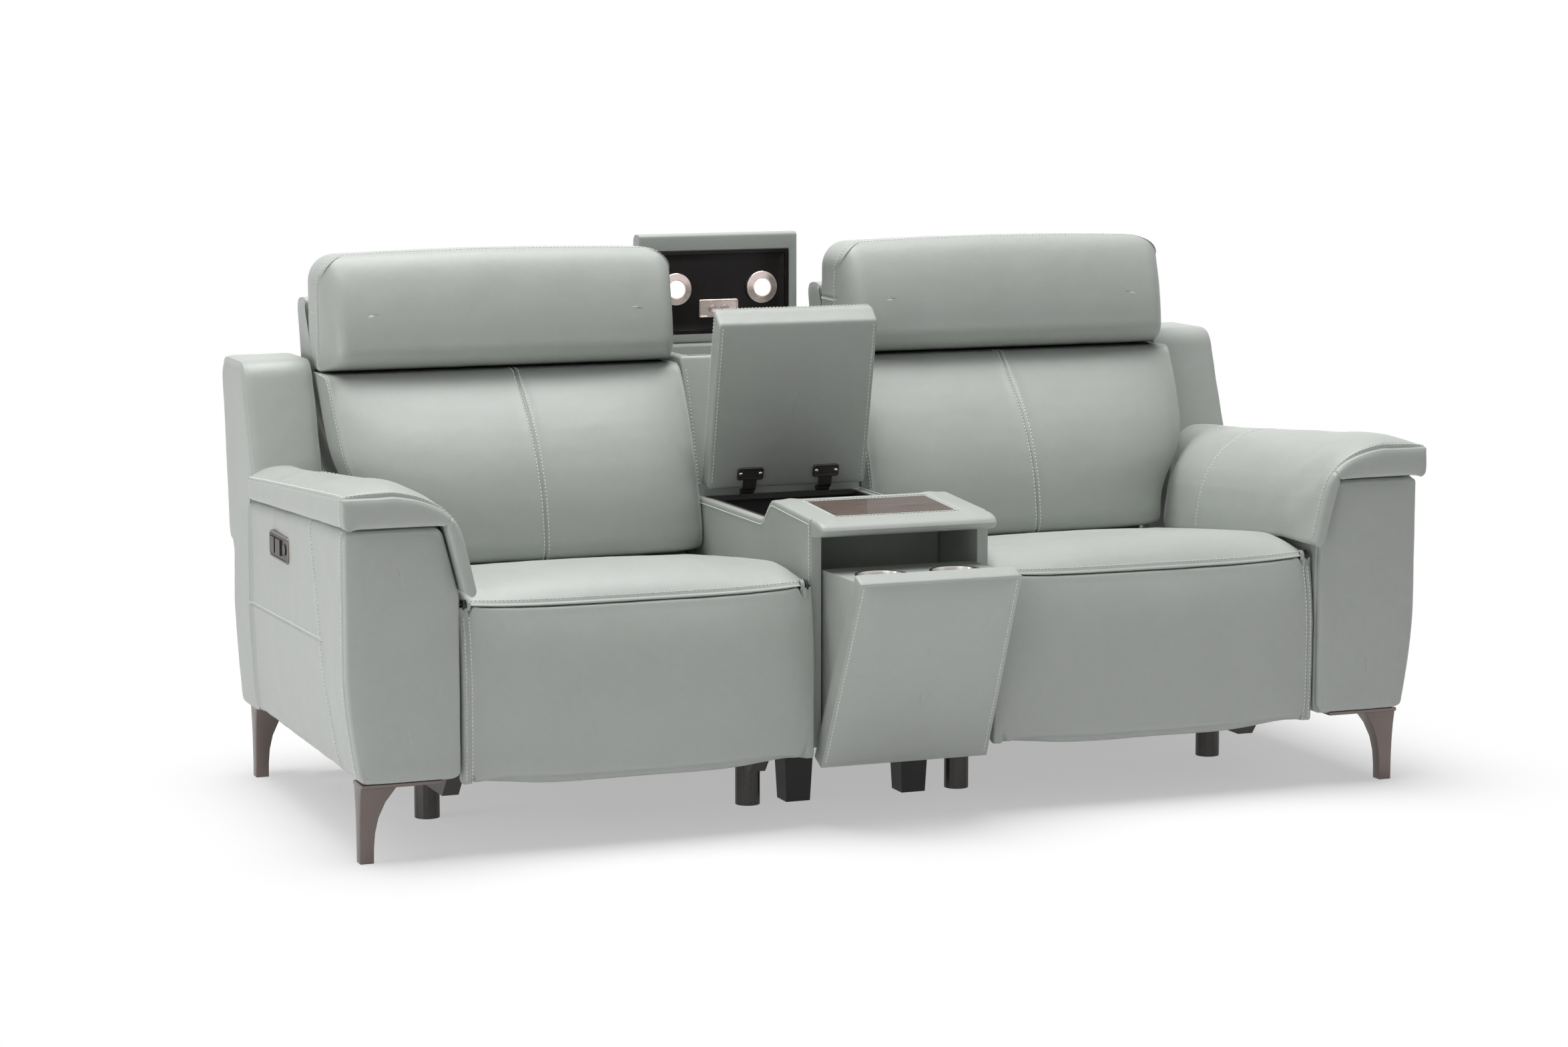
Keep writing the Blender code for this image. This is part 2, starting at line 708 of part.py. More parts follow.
def tray_height(y):
    """Top of the tray at a depth."""
    share = (y - TRAY_CREST_FRONT) / (TRAY_CREST_REAR - TRAY_CREST_FRONT)
    return TRAY_TOP_FRONT + (TRAY_TOP_REAR - TRAY_TOP_FRONT) * share


def inlay_outline(grow):
    """Side view of the wooden inlay, or of its recess when grown."""
    front = INLAY_FRONT - grow
    rear = INLAY_REAR + grow
    lift = INLAY_THICK if grow else 0.0
    sink = INLAY_THICK + grow
    return [
        (front, tray_height(front) - sink), (rear, tray_height(rear) - sink),
        (rear, tray_height(rear) + lift), (front, tray_height(front) + lift),
    ]


def build_tray(frame):
    """Padded tray over the drawer, with its wooden inlay."""
    tray = prism("console_tray", tray_outline(), "X", -CONSOLE_HALF, CONSOLE_HALF, frame, LEATHER)
    reach = INLAY_HALF + FIT
    cut(tray, prism("inlay_recess", inlay_outline(FIT), "X", -reach, reach, frame))
    prism("tray_inlay", inlay_outline(0.0), "X", -INLAY_HALF, INLAY_HALF, frame, WOOD)


def build_tub(frame):
    """Storage tub, with the shelf and rail that carry the lid's hinges."""
    half = CONSOLE_HALF - SIDE_WALL - FIT
    rear = BACKBOX_FOOT_Y - FIT
    shelf = LID_AXIS[0] - SHELF_LAP
    tub = block("storage_tub", (-half, TUB_FRONT, TUB_FLOOR), (half, rear, SIDE_TOP), frame, BLACK)
    low = (-half + TUB_WALL, TUB_FRONT + TUB_WALL, TUB_FLOOR + TUB_WALL)
    high = (half - TUB_WALL, shelf, SIDE_TOP + TUB_WALL)
    hollow = block("tub_hollow", low, high, frame)
    under = (half - TUB_WALL, rear - TUB_WALL, SIDE_TOP - TUB_WALL)
    cut(tub, hollow, block("tub_under_shelf", (low[0], shelf - TUB_WALL, low[2]), under, frame))
    rail_top = LID_AXIS[1] - HINGE_BARREL - RUN
    low = (-HINGE_X - HINGE_WIDTH / 2, LID_AXIS[0] - RAIL_LAP, SIDE_TOP - TUB_WALL / 2)
    high = (HINGE_X + HINGE_WIDTH / 2, LID_AXIS[0] + HINGE_BARREL * 0.8, rail_top)
    join(tub, block("tub_hinge_rail", low, high, frame))


def build_base_board(frame):
    """Floor of the console with its four tapered feet."""
    half = CONSOLE_HALF - SIDE_WALL - FIT
    step = BACKBOX_FOOT_Y - FIT
    outline = [
        (BOARD_FRONT, BASE_Z - BOARD_THICK), (BOARD_REAR, BASE_Z - BOARD_THICK), (BOARD_REAR, BASE_Z - FIT),
        (step, BASE_Z - FIT), (step, BASE_Z + BOARD_THICK), (BOARD_FRONT, BASE_Z + BOARD_THICK),
    ]
    board = prism("console_base", outline, "X", -half, half, frame, BLACK)
    for side in (-1.0, 1.0):
        for centre in (FOOT_FRONT_Y, FOOT_REAR_Y):
            rings = []
            for z, width in ((0.0, FOOT_TIP), (BASE_Z - BOARD_THICK / 2, FOOT_TOP)):
                corners = [(-width, -width), (width, -width), (width, width), (-width, width)]
                rings.append([Vector((side * FOOT_X + dx / 2, centre + dy / 2, z)) for dx, dy in corners])
            join(board, loft("console_foot", rings, frame))


def build_storage_lid(frame):
    """Padded lid of the tub with two hinges, drawn shut and then turned open."""
    axis = pivot("storage_lid_axis", vec(*LID_AXIS), frame, -LID_OPEN)
    low = SIDE_TOP + FIT * 2
    top = low + LID_THICK
    rings = []
    for share in (-1.0, -0.94, -0.5, 0.0, 0.5, 0.94, 1.0):
        inset = LID_ROUND * 0.6 if abs(share) == 1.0 else 0.0
        crown = LID_CROWN * (1.0 - share * share)
        outline = rounded([
            (LID_FRONT_LOW + inset, low, 0.002),
            (LID_FRONT_TOP + inset, top - inset, LID_ROUND),
            ((LID_FRONT_TOP + LID_REAR) / 2, top + crown - inset, 0.0),
            (LID_REAR - inset, top - inset, LID_ROUND),
            (LID_REAR - inset, low, 0.002),
        ])
        rings.append([vec(y, z, share * LID_HALF) for y, z in outline])
    loft("storage_lid", rings, axis, LEATHER)
    leaf_top = low - FIT
    for label, side in SIDES:
        middle = side * HINGE_X
        ends = (middle - HINGE_WIDTH / 2, middle + HINGE_WIDTH / 2)
        rear = LID_AXIS[0] - HINGE_BARREL * 0.8
        outline = [
            (LID_REAR - HINGE_REACH, leaf_top - HINGE_LEAF), (LID_REAR, leaf_top - HINGE_LEAF),
            (rear, leaf_top), (LID_AXIS[0], LID_AXIS[1] - HINGE_BARREL * 0.5),
            (LID_AXIS[0], LID_AXIS[1] + HINGE_BARREL * 0.5), (rear - FIT, LID_AXIS[1]),
            (LID_REAR + FIT, leaf_top), (LID_REAR - HINGE_REACH, leaf_top),
        ]
        leaf = prism("lid_hinge_" + label, outline, "X", ends[0], ends[1], axis, DARK_STEEL)
        barrel = circle(LID_AXIS, HINGE_BARREL, PIN_SIDES)
        join(leaf, prism("lid_barrel", barrel, "X", ends[0] + FIT, ends[1] - FIT, axis))


def build_drawer(frame):
    """Cup drawer that tilts out at the front, drawn shut and then turned open."""
    axis = pivot("cup_drawer_axis", vec(*DRAWER_AXIS), frame, DRAWER_OPEN)
    behind = DRAWER_FACE + DRAWER_FRONT_THICK
    rings = []
    for y in (DRAWER_FACE, behind):
        top = deck_height(y) + DRAWER_LIP
        corners = [
            (-DRAWER_HALF_LOW, DRAWER_LOW), (DRAWER_HALF_LOW, DRAWER_LOW),
            (DRAWER_HALF_TOP, top), (-DRAWER_HALF_TOP, top),
        ]
        rings.append([vec(y, z, x) for x, z in corners])
    drawer = loft("cup_drawer", rings, axis, LEATHER)
    start = (DRAWER_FACE + behind) / 2
    rear = DRAWER_FACE + DRAWER_DEPTH * math.cos(DRAWER_OPEN)
    body = [
        (start, DRAWER_LOW + FIT), (start, deck_height(start)),
        (rear, deck_height(rear)), (DRAWER_HEEL, DRAWER_LOW + FIT),
    ]
    half = DRAWER_BODY_HALF
    join(drawer, prism("drawer_body", body, "X", -half, half, axis))
    reach = CONSOLE_HALF - SIDE_WALL / 2
    join(drawer, prism("drawer_pin", circle(DRAWER_AXIS, DRAWER_PIN, PIN_SIDES), "X", -reach, reach, axis))
    middle = DRAWER_DEPTH / 2
    for label, side in SIDES:
        place = (
            side * CUP_X, DRAWER_FACE + middle * math.cos(DRAWER_OPEN),
            DRAWER_TOP - middle * math.sin(DRAWER_OPEN),
        )
        seat = Matrix.Translation(place) @ Matrix.Rotation(-DRAWER_OPEN, 4, "X")
        bore = circle((0.0, 0.0), CUP_RADIUS + FIT, CUP_SIDES)
        cut(drawer, prism("cup_bore", bore, "Z", -CUP_DEPTH - FIT, CUP_DEPTH, axis, turn=seat))
        build_cup("cup_holder_" + label, axis, seat)


def deck_height(y):
    """Top of the shut drawer at a depth; it lies level when the drawer is open."""
    return DRAWER_TOP - (y - DRAWER_FACE) * math.tan(DRAWER_OPEN)


def build_cup(name, axis, seat):
    """Thin steel cup with a flange, turned about its own axis."""
    lip = FIT + CUP_FLANGE_THICK
    profile = [
        (CUP_FLANGE, FIT), (CUP_FLANGE, lip), (CUP_RADIUS - CUP_WALL, lip),
        (CUP_RADIUS - CUP_WALL, -CUP_DEPTH + CUP_WALL), (0.0, -CUP_DEPTH + CUP_WALL),
        (0.0, -CUP_DEPTH), (CUP_RADIUS, -CUP_DEPTH), (CUP_RADIUS, FIT),
    ]
    turned(name, profile, axis, STEEL, seat)


def turned(name, profile, parent, look, turn, sides=CUP_SIDES):
    """Solid of revolution about Z; points on the axis are shared."""
    points = []
    rows = []
    for radius, z in profile:
        if radius == 0.0:
            points.append(Vector((0.0, 0.0, z)))
            rows.append([len(points) - 1] * sides)
            continue
        row = []
        for k in range(sides):
            angle = 2 * math.pi * (k + 0.5) / sides
            points.append(Vector((radius * math.cos(angle), radius * math.sin(angle), z)))
            row.append(len(points) - 1)
        rows.append(row)
    faces = []
    for index, row in enumerate(rows):
        other = rows[(index + 1) % len(rows)]
        for k in range(sides):
            nxt = (k + 1) % sides
            face = [row[k], row[nxt], other[nxt], other[k]]
            face = list(dict.fromkeys(face))
            if len(face) > 2:
                faces.append(face)
    return solid(name, points, faces, parent, look, turn)


def build_light_lid(frame):
    """Lid at the top of the console with its lamp panel, drawn shut and then turned open."""
    axis_y, axis_z = LIGHT_AXIS
    axis = pivot("light_lid_axis", vec(axis_y, axis_z), frame, -LIGHT_OPEN)
    face = axis_z - LIGHT_BARREL
    top = face + LIGHT_THICK
    heel = []
    for step in range(ARC_STEPS + 1):
        angle = -math.pi / 2 + (math.pi / 2) * step / ARC_STEPS
        heel.append((axis_y + LIGHT_BARREL * math.cos(angle), axis_z + LIGHT_BARREL * math.sin(angle)))
    soft = rounded([
        (axis_y + LIGHT_BARREL, top, LIGHT_BARREL), (axis_y - LIGHT_LENGTH, top, LIGHT_THICK * 0.4),
        (axis_y - LIGHT_LENGTH, face, LIGHT_THICK * 0.2), (axis_y, face, 0.0),
    ])
    outline = heel + soft[:-1]
    lid = prism("light_lid", outline, "X", -LIGHT_HALF, LIGHT_HALF, axis, LEATHER)
    near = axis_y - PANEL_NEAR
    far = axis_y - PANEL_FAR
    sunk = face + PANEL_THICK
    low = (-PANEL_HALF - FIT, far - FIT, face - PANEL_THICK)
    high = (PANEL_HALF + FIT, near + FIT, sunk + FIT)
    cut(lid, block("panel_recess", low, high, axis))
    panel = block("light_panel", (-PANEL_HALF, far, face), (PANEL_HALF, near, sunk), axis, GLOSS)
    plate_y = axis_y - PLATE_OUT
    low = (-PLATE_HALF, plate_y - PLATE_WIDTH / 2, face - PLATE_THICK)
    high = (PLATE_HALF, plate_y + PLATE_WIDTH / 2, sunk - FIT)
    join(panel, block("button_plate", low, high, axis))
    for label, side in SIDES:
        hole = circle((side * BUTTON_X, plate_y), BUTTON_RADIUS + RUN, PIN_SIDES)
        cut(panel, prism("button_hole", hole, "Z", face - PLATE_THICK * 2, sunk + PLATE_THICK, axis))
        button = pivot("light_" + label + "_button_axis", vec(plate_y, face, side * BUTTON_X), axis)
        shape = circle((side * BUTTON_X, plate_y), BUTTON_RADIUS, PIN_SIDES)
        low = face - PLATE_THICK - BUTTON_PROUD
        high = sunk - BUTTON_TRAVEL - FIT
        prism("light_" + label + "_button", shape, "Z", low, high, button, ROSE)
        build_lamp("lamp_" + label, side * LAMP_X, axis_y - LAMP_OUT, face - FIT, axis)


def build_lamp(name, x, y, base, axis):
    """Round reading lamp: a bevelled ring with its lens set back in it."""
    profile = [
        (LAMP_RADIUS, 0.0), (LAMP_RADIUS, -LAMP_HEIGHT * 0.5), (LAMP_RADIUS * 0.82, -LAMP_HEIGHT),
        (LAMP_LENS, -LAMP_HEIGHT * 0.8), (0.0, -LAMP_HEIGHT * 0.7), (0.0, 0.0),
    ]
    turned(name, profile, axis, ROSE, Matrix.Translation((x, y, base)), LAMP_SIDES)


def build_base_frame(name, side, frame):
    """Steel frame of one seat on its glides, between the console and the arm."""
    middle = side * SEAT_X
    rail = [
        (RAIL_FRONT, RAIL_LOW), (RAIL_FRONT - RAIL_RAKE, RAIL_TOP),
        (REAR_BOARD_Y + REAR_BOARD_THICK / 2, RAIL_TOP), (REAR_BOARD_Y + REAR_BOARD_THICK / 2, RAIL_LOW),
    ]
    half = RAIL_WIDTH / 2
    inward = middle - side * PLATE_X
    base = prism(name + "_base_frame", rail, "X", inward - half, inward + half, frame, DARK_STEEL)
    outward = middle + side * PLATE_X
    join(base, prism(name + "_outer_rail", rail, "X", outward - half, outward + half, frame))
    ends = sorted((side * (CONSOLE_HALF + FIT), side * (ARM_INNER - FIT)))
    low = (ends[0], CROSS_Y - CROSS_WIDTH / 2, RAIL_LOW + FIT)
    high = (ends[1], CROSS_Y + CROSS_WIDTH / 2, CROSS_TOP)
    join(base, block(name + "_cross", low, high, frame))
    for x in ends:
        pair = sorted((x, x - math.copysign(TAB_WIDTH, x - middle)))
        low = (pair[0], CROSS_Y - TAB_DEPTH / 2, TAB_LOW)
        high = (pair[1], CROSS_Y + TAB_DEPTH / 2, TAB_TOP)
        join(base, block(name + "_cross_tab", low, high, frame))
    ends = sorted((side * (CONSOLE_HALF + FIT), side * (WING_INNER - FIT)))
    low = (ends[0], REAR_BOARD_Y, RAIL_LOW + FIT)
    high = (ends[1], REAR_BOARD_Y + REAR_BOARD_THICK, REAR_BOARD_TOP)
    join(base, block(name + "_rear_board", low, high, frame))
    for x, y in ((inward, GLIDE_IN_Y), (middle + side * GLIDE_OUT_X, GLIDE_OUT_Y)):
        post = circle((x, y), GLIDE_RADIUS)
        join(base, prism(name + "_glide", post, "Z", 0.0, (RAIL_LOW + RAIL_TOP) / 2, frame))


def build_actuator(name, side, frame):
    """Tube and motor of the drive that pushes the carriage."""
    middle = side * SEAT_X
    rear = REAR_BOARD_Y - FIT
    housing = prism(name + "_actuator_housing", circle((middle, ROD_Z), HOUSING_RADIUS), "Y",
                    HOUSING_FRONT, rear, frame, BLACK)
    reach = sorted((middle, middle + side * MOTOR_REACH))
    motor = circle((MOTOR_Y, ROD_Z), MOTOR_RADIUS)
    join(housing, prism(name + "_motor", motor, "X", reach[0], reach[1], frame))
    bore = circle((middle, ROD_Z), ROD_RADIUS + RUN)
    cut(housing, prism(name + "_rod_bore", bore, "Y", HOUSING_FRONT - FIT, ROD_TIP + ROD_ROOM, frame))


def build_carriage(name, side, frame):
    """Sliding seat frame: deck, side plates, footrest ears and the drive's rod."""
    middle = side * SEAT_X
    slide = pivot(name + "_seat_slide", vec(DECK_FRONT, RAIL_TOP, middle), frame)
    under = DECK_TOP - DECK_THICK
    low = (middle - DECK_HALF, DECK_FRONT, under)
    deck = block(name + "_seat_frame", low, (middle + DECK_HALF, DECK_REAR, DECK_TOP), slide, BOARD)
    axis_y, axis_z = BACK_AXIS
    heel = axis_y + CARRIAGE_HEEL
    plate = [
        (CARRIAGE_FRONT, RAIL_TOP + FIT), (heel - CARRIAGE_RAKE, RAIL_TOP + FIT),
        (heel, axis_z - CARRIAGE_NECK), (heel, axis_z + CARRIAGE_EAR),
        (axis_y - CARRIAGE_HEEL, axis_z + CARRIAGE_EAR), (axis_y - CARRIAGE_HEEL, under + FIT),
        (CARRIAGE_FRONT, under + FIT),
    ]
    for end in (-1.0, 1.0):
        centre = middle + end * PLATE_X
        half = CARRIAGE_PLATE / 2
        join(deck, prism(name + "_plate", plate, "X", centre - half, centre + half, slide))
        ear_in = middle + end * (DECK_HALF - EAR_THICK)
        reach = sorted((ear_in, middle + end * (DECK_HALF - FIT)))
        level = under + DECK_THICK / 2
        corner = (DECK_FRONT - EAR_FORWARD, level)
        root = bar((DECK_FRONT + EAR_GRIP, level), corner, EAR_ROOT, EAR_ROOT)
        join(deck, prism(name + "_ear_root", root, "X", reach[0], reach[1], slide))
        ear = bar(corner, FOOT_HINGE, EAR_NECK, EAR_BOSS)
        join(deck, prism(name + "_ear", ear, "X", reach[0], reach[1], slide))
        pin_in = middle + end * (DECK_HALF - EAR_THICK * 2 - SWING)
        reach = sorted((pin_in, middle + end * (DECK_HALF - EAR_THICK / 2)))
        pin = circle(FOOT_HINGE, EAR_PIN, PIN_SIDES)
        join(deck, prism(name + "_ear_pin", pin, "X", reach[0], reach[1], slide))
    low = (middle - ROD_PLATE_HALF, ROD_PLATE_Y, ROD_Z - ROD_PLATE_HALF * 0.6)
    high = (middle + ROD_PLATE_HALF, ROD_PLATE_Y + ROD_PLATE_THICK, under + FIT)
    join(deck, block(name + "_rod_plate", low, high, slide))
    rod = circle((middle, ROD_Z), ROD_RADIUS)
    join(deck, prism(name + "_rod", rod, "Y", ROD_PLATE_Y + FIT, ROD_TIP, slide))
    reach = (middle - DECK_HALF, middle + DECK_HALF)
    tube = circle(TUBE_AXIS, TUBE_RADIUS + RUN)
    cut(deck, prism(name + "_tube_bore", tube, "X", reach[0], reach[1], slide))
    pin = circle(BACK_AXIS, BACK_PIN + RUN, PIN_SIDES)
    cut(deck, prism(name + "_back_bore", pin, "X", reach[0], reach[1], slide))
    build_seat_cushion(name, side, slide)
    build_footrest(name, side, slide)
    build_crank(name, side, slide)
    build_back(name, side, slide)


def seat_ring(middle, share):
    """Section of the seat cushion, from its rear foot round its front and over its top."""
    rear = BACK_AXIS[0] - CARRIAGE_HEEL - SWING
    foot = DECK_TOP + FIT
    nose = DECK_FRONT - SEW
    corners = [(rear, foot), (nose, foot), (nose, SEAT_LIP_Z), (SEAT_LIP, SEAT_LIP_Z)]
    steps = 12
    drawn = SEAT_SIDE_DROP * abs(share) ** 6
    for step in range(steps + 1):
        along = (step / steps) ** 1.5
        y = SEAT_LIP + (rear - SEAT_LIP) * along
        roll = SEAT_ROLL * max(0.0, 1.0 - (y - SEAT_LIP) / SEAT_ROLL_DEPTH) ** 2
        crown = SEAT_CROWN * (1.0 - share * share) * math.sin(math.pi * along ** 0.6) ** 0.8
        drop = drawn * min(1.0, (y - SEAT_LIP) / SEAT_ROLL_DEPTH)
        corners.append((y, SEAT_LINE - SEAT_SLOPE * (y - SEAT_LIP) - roll + crown - drop))
    ring = []
    for y, z in corners:
        along = (y - SEAT_LIP) / (rear - SEAT_LIP)
        pull = SEAT_PULL * math.sin(math.pi * min(1.0, max(0.0, along)))
        ring.append(vec(y, z, middle + share * (SEAT_HALF - pull)))
    return ring


def build_seat_cushion(name, side, slide):
    """Crowned seat cushion with a rolled front over the footrest."""
    shares = (-1.0, -0.97, -0.88, -0.7, -0.4, 0.0, 0.4, 0.7, 0.88, 0.97, 1.0)
    loft(name + "_seat_cushion", [seat_ring(side * SEAT_X, share) for share in shares], slide, LEATHER)


def footpad_ring(middle, share):
    """Section of the footrest pad: flat back, crowned face, drawn in at the ends."""
    top = FOOT_HINGE[1] - SWING
    drawn = FOOT_ROUND * abs(share) ** 8
    corners = [(FOOT_PAD_BACK, top - FOOT_ROUND * 0.3), (FOOT_PAD_BACK, FOOT_PAD_LOW + FOOT_ROUND * 0.5)]
    steps = 10
    for step in range(steps + 1):
        along = step / steps
        z = FOOT_PAD_LOW + (top - FOOT_PAD_LOW) * along
        edge = FOOT_ROUND * (abs(2.0 * along - 1.0) ** 8)
        crown = FOOT_CROWN * math.sin(math.pi * along) ** 0.7 * (1.0 - 0.6 * share * share)
        corners.append((FOOT_PAD_FACE + edge + drawn - crown, z))
    return [vec(y, z, middle + share * FOOT_PAD_HALF) for y, z in corners]


def build_footrest(name, side, slide):
    """Footrest on its hinge under the front of the seat."""
    middle = side * SEAT_X
    axis = pivot(name + "_footrest_axis", vec(*FOOT_HINGE, middle), slide)
    shares = (-1.0, -0.96, -0.8, -0.4, 0.0, 0.4, 0.8, 0.96, 1.0)
    loft(name + "_footrest_pad", [footpad_ring(middle, share) for share in shares], axis, LEATHER)
    front = FOOT_PAD_BACK + FIT
    rear = front + FOOT_BOARD_THICK
    top = FOOT_HINGE[1] - EAR_BOSS
    ear_out = DECK_HALF - EAR_THICK - SWING
    low = (middle - ear_out + EAR_THICK, front, FOOT_BOARD_LOW)
    board = block(name + "_footrest_board", low, (middle + ear_out - EAR_THICK, rear, top), axis, BOARD)
    root = ((front + rear) / 2, top - FOOT_BOARD_THICK)
    for end in (-1.0, 1.0):
        reach = sorted((middle + end * ear_out, middle + end * (ear_out - EAR_THICK - FIT)))
        ear = prism(name + "_board_ear", bar(root, FOOT_HINGE, FOOT_BOARD_THICK / 2, EAR_BOSS), "X",
                    reach[0], reach[1], axis)
        join(board, ear)
    pin = (FOOT_HINGE[0] + LUG_DROP[0], FOOT_HINGE[1] + LUG_DROP[1])
    half = CRANK_THICK / 2
    lug = bar((rear, pin[1]), pin, LINK_BOSS, LINK_BOSS)
    join(board, prism(name + "_lug", lug, "X", middle - half, middle + half, axis))
    reach = middle + half + LINK_THICK + RUN * 2
    peg = circle(pin, LINK_PIN, PIN_SIDES)
    join(board, prism(name + "_lug_pin", peg, "X", middle - half + FIT, reach, axis))
    hole = circle(FOOT_HINGE, EAR_PIN + RUN, PIN_SIDES)
    cut(board, prism(name + "_ear_bore", hole, "X", middle - DECK_HALF, middle + DECK_HALF, axis))


def build_crank(name, side, slide):
    """Torque tube with its crank, and the link that pushes the footrest."""
    middle = side * SEAT_X
    axis = pivot(name + "_crank_axis", vec(*TUBE_AXIS, middle), slide)
    reach = PLATE_X + CARRIAGE_PLATE
    tube = prism(name + "_torque_tube", circle(TUBE_AXIS, TUBE_RADIUS), "X",
                 middle - reach, middle + reach, axis, DARK_STEEL)
    end = (TUBE_AXIS[0] + LUG_DROP[0], TUBE_AXIS[1] + LUG_DROP[1])
    half = CRANK_THICK / 2
    crank = bar(TUBE_AXIS, end, TUBE_RADIUS * 1.5, LINK_BOSS)
    join(tube, prism(name + "_crank", crank, "X", middle - half, middle + half, axis))
    reach = middle + half + LINK_THICK + RUN * 2
    peg = circle(end, LINK_PIN, PIN_SIDES)
    join(tube, prism(name + "_crank_pin", peg, "X", middle - half + FIT, reach, axis))
    link_axis = pivot(name + "_link_axis", vec(*end, middle), axis)
    pin = (FOOT_HINGE[0] + LUG_DROP[0], FOOT_HINGE[1] + LUG_DROP[1])
    near = middle + half + RUN
    link = prism(name + "_footrest_link", bar(end, pin, LINK_BOSS, LINK_BOSS), "X",
                 near, near + LINK_THICK, link_axis, DARK_STEEL)
    for place in (end, pin):
        hole = circle(place, LINK_PIN + RUN, PIN_SIDES)
        cut(link, prism(name + "_link_bore", hole, "X", near - LINK_THICK, near + LINK_THICK * 2, link_axis))


def shell_front(z):
    """Front face of the back's shell at a height."""
    share = (z - SHELL_LOW[1]) / (SHELL_HIGH[1] - SHELL_LOW[1])
    return SHELL_LOW[0] + (SHELL_HIGH[0] - SHELL_LOW[0]) * share


def build_back(name, side, slide):
    """Reclining back: shell, cushion and headrest."""
    middle = side * SEAT_X
    axis = pivot(name + "_back_axis", vec(*BACK_AXIS, middle), slide)
    shelf = HEAD_AXIS[1] - SHELF_THICK / 2
    hem = SHELL_LOW[1] - SHELL_SKIRT
    outline = rounded([
        (SHELL_TOE[0], SHELL_TOE[1], 0.0), (shell_front(hem), hem, 0.0),
        (shell_front(shelf), shelf, 0.0), (HEAD_AXIS[0], shelf, 0.0),
        (HEAD_AXIS[0] - SHELF_THICK / 2, HEAD_AXIS[1], 0.0),
        (HEAD_AXIS[0], shelf + SHELF_THICK, 0.0), (SHELL_HEAD_Y, shelf + SHELF_THICK, 0.0),
        (SHELL_HEAD_Y, SHELL_TOP, SHELL_ROUND * 0.4), (SHELL_REAR_TOP, SHELL_TOP, SHELL_ROUND),
        (SHELL_REAR_LOW[0], SHELL_REAR_LOW[1], SHELL_ROUND),
    ])
    rings = [[vec(y, z, back_edge(side, share, z)) for y, z in outline] for share in (-1.0, 1.0)]
    shell = loft(name + "_back_shell", rings, axis, LEATHER)
    neck_half = PLATE_X - CARRIAGE_PLATE / 2 - SWING
    root = (SHELL_TOE[0] + NECK_REACH, (SHELL_TOE[1] + SHELL_LOW[1]) / 2)
    neck = bar(BACK_AXIS, root, NECK_RADIUS, NECK_RADIUS)
    join(shell, prism(name + "_neck", neck, "X", middle - neck_half, middle + neck_half, axis))
    reach = PLATE_X + CARRIAGE_PLATE / 2
    pin = circle(BACK_AXIS, BACK_PIN, PIN_SIDES)
    join(shell, prism(name + "_back_pin", pin, "X", middle - reach, middle + reach, axis))
    build_back_cushion(name, side, axis)
    build_headrest(name, side, axis)


def back_edge(side, share, z):
    """Place across the back: from its console side to its arm side, narrower low down."""
    blend = min(1.0, max(0.0, (z - BACK_NARROW_Z) / (BACK_WIDE_Z - BACK_NARROW_Z)))
    blend = blend * blend * (3.0 - 2.0 * blend)
    outer = BACK_OUTER_LOW + (BACK_OUTER - BACK_OUTER_LOW) * blend
    return side * (BACK_INNER + (outer - BACK_INNER) * (share + 1.0) / 2.0)


def back_ring(side, share):
    """Section of the back cushion: flat behind, crowned in front, sewn down at its middle."""
    corners = [(shell_front(z) - FIT * 2, z) for z in (BACK_HIGH[1], SHELL_LOW[1])]
    steps = 12
    drawn = BACK_ROUND * abs(share) ** 8
    seam = BACK_SEAM * math.exp(-(share / 0.06) ** 2)
    for step in range(steps + 1):
        along = step / steps
        z = BACK_LOW[1] + (BACK_HIGH[1] - BACK_LOW[1]) * along
        line = BACK_LOW[0] + (BACK_HIGH[0] - BACK_LOW[0]) * along
        crown = BACK_CROWN * (1.0 - share * share) * (1.0 - 0.65 * along)
        edge = BACK_ROUND * abs(2.0 * along - 1.0) ** 6
        corners.append((line - crown + edge + drawn + seam * (1.0 - along ** 8), z))
    return [vec(y, z, back_edge(side, share, z)) for y, z in corners]


def build_back_cushion(name, side, axis):
    """Back cushion with a sewn line up its middle."""
    shares = (-1.0, -0.97, -0.85, -0.55, -0.2, -0.08, 0.0, 0.08, 0.2, 0.55, 0.85, 0.97, 1.0)
    loft(name + "_back_cushion", [back_ring(side, share) for share in shares], axis, LEATHER)


def head_ring(side, share):
    """Section of the headrest pad."""
    fall = HEAD_SIDE_ROUND * abs(share) ** 10
    low = HEAD_AXIS[1] + SHELF_THICK / 2 + RUN
    arch = HEAD_TOP_CROWN * (1.0 - share * share)
    top = HEAD_TOP + arch - fall * 0.5
    crown = HEAD_CROWN * (1.0 - 0.5 * share * share)
    middle = (low + top) / 2
    outline = rounded([
        (HEAD_FACE_LOW + fall, low, HEAD_CHIN),
        (HEAD_FACE_LOW + fall - crown * 0.8, low + (middle - low) * 0.5, 0.0),
        ((HEAD_FACE_LOW + HEAD_FACE_TOP) / 2 + fall - crown, middle, 0.0),
        ((HEAD_FACE_LOW + HEAD_FACE_TOP * 3) / 4 + fall - crown * 0.7, middle + (top - middle) * 0.5, 0.0),
        (HEAD_FACE_TOP + fall, top, HEAD_ROUND),
        (HEAD_BACK - fall * 0.3, top, HEAD_ROUND),
        (HEAD_BACK - fall * 0.3, low, HEAD_CHIN * 0.3),
    ])
    return [vec(y, z, back_edge(side, share, BACK_WIDE_Z)) for y, z in outline]


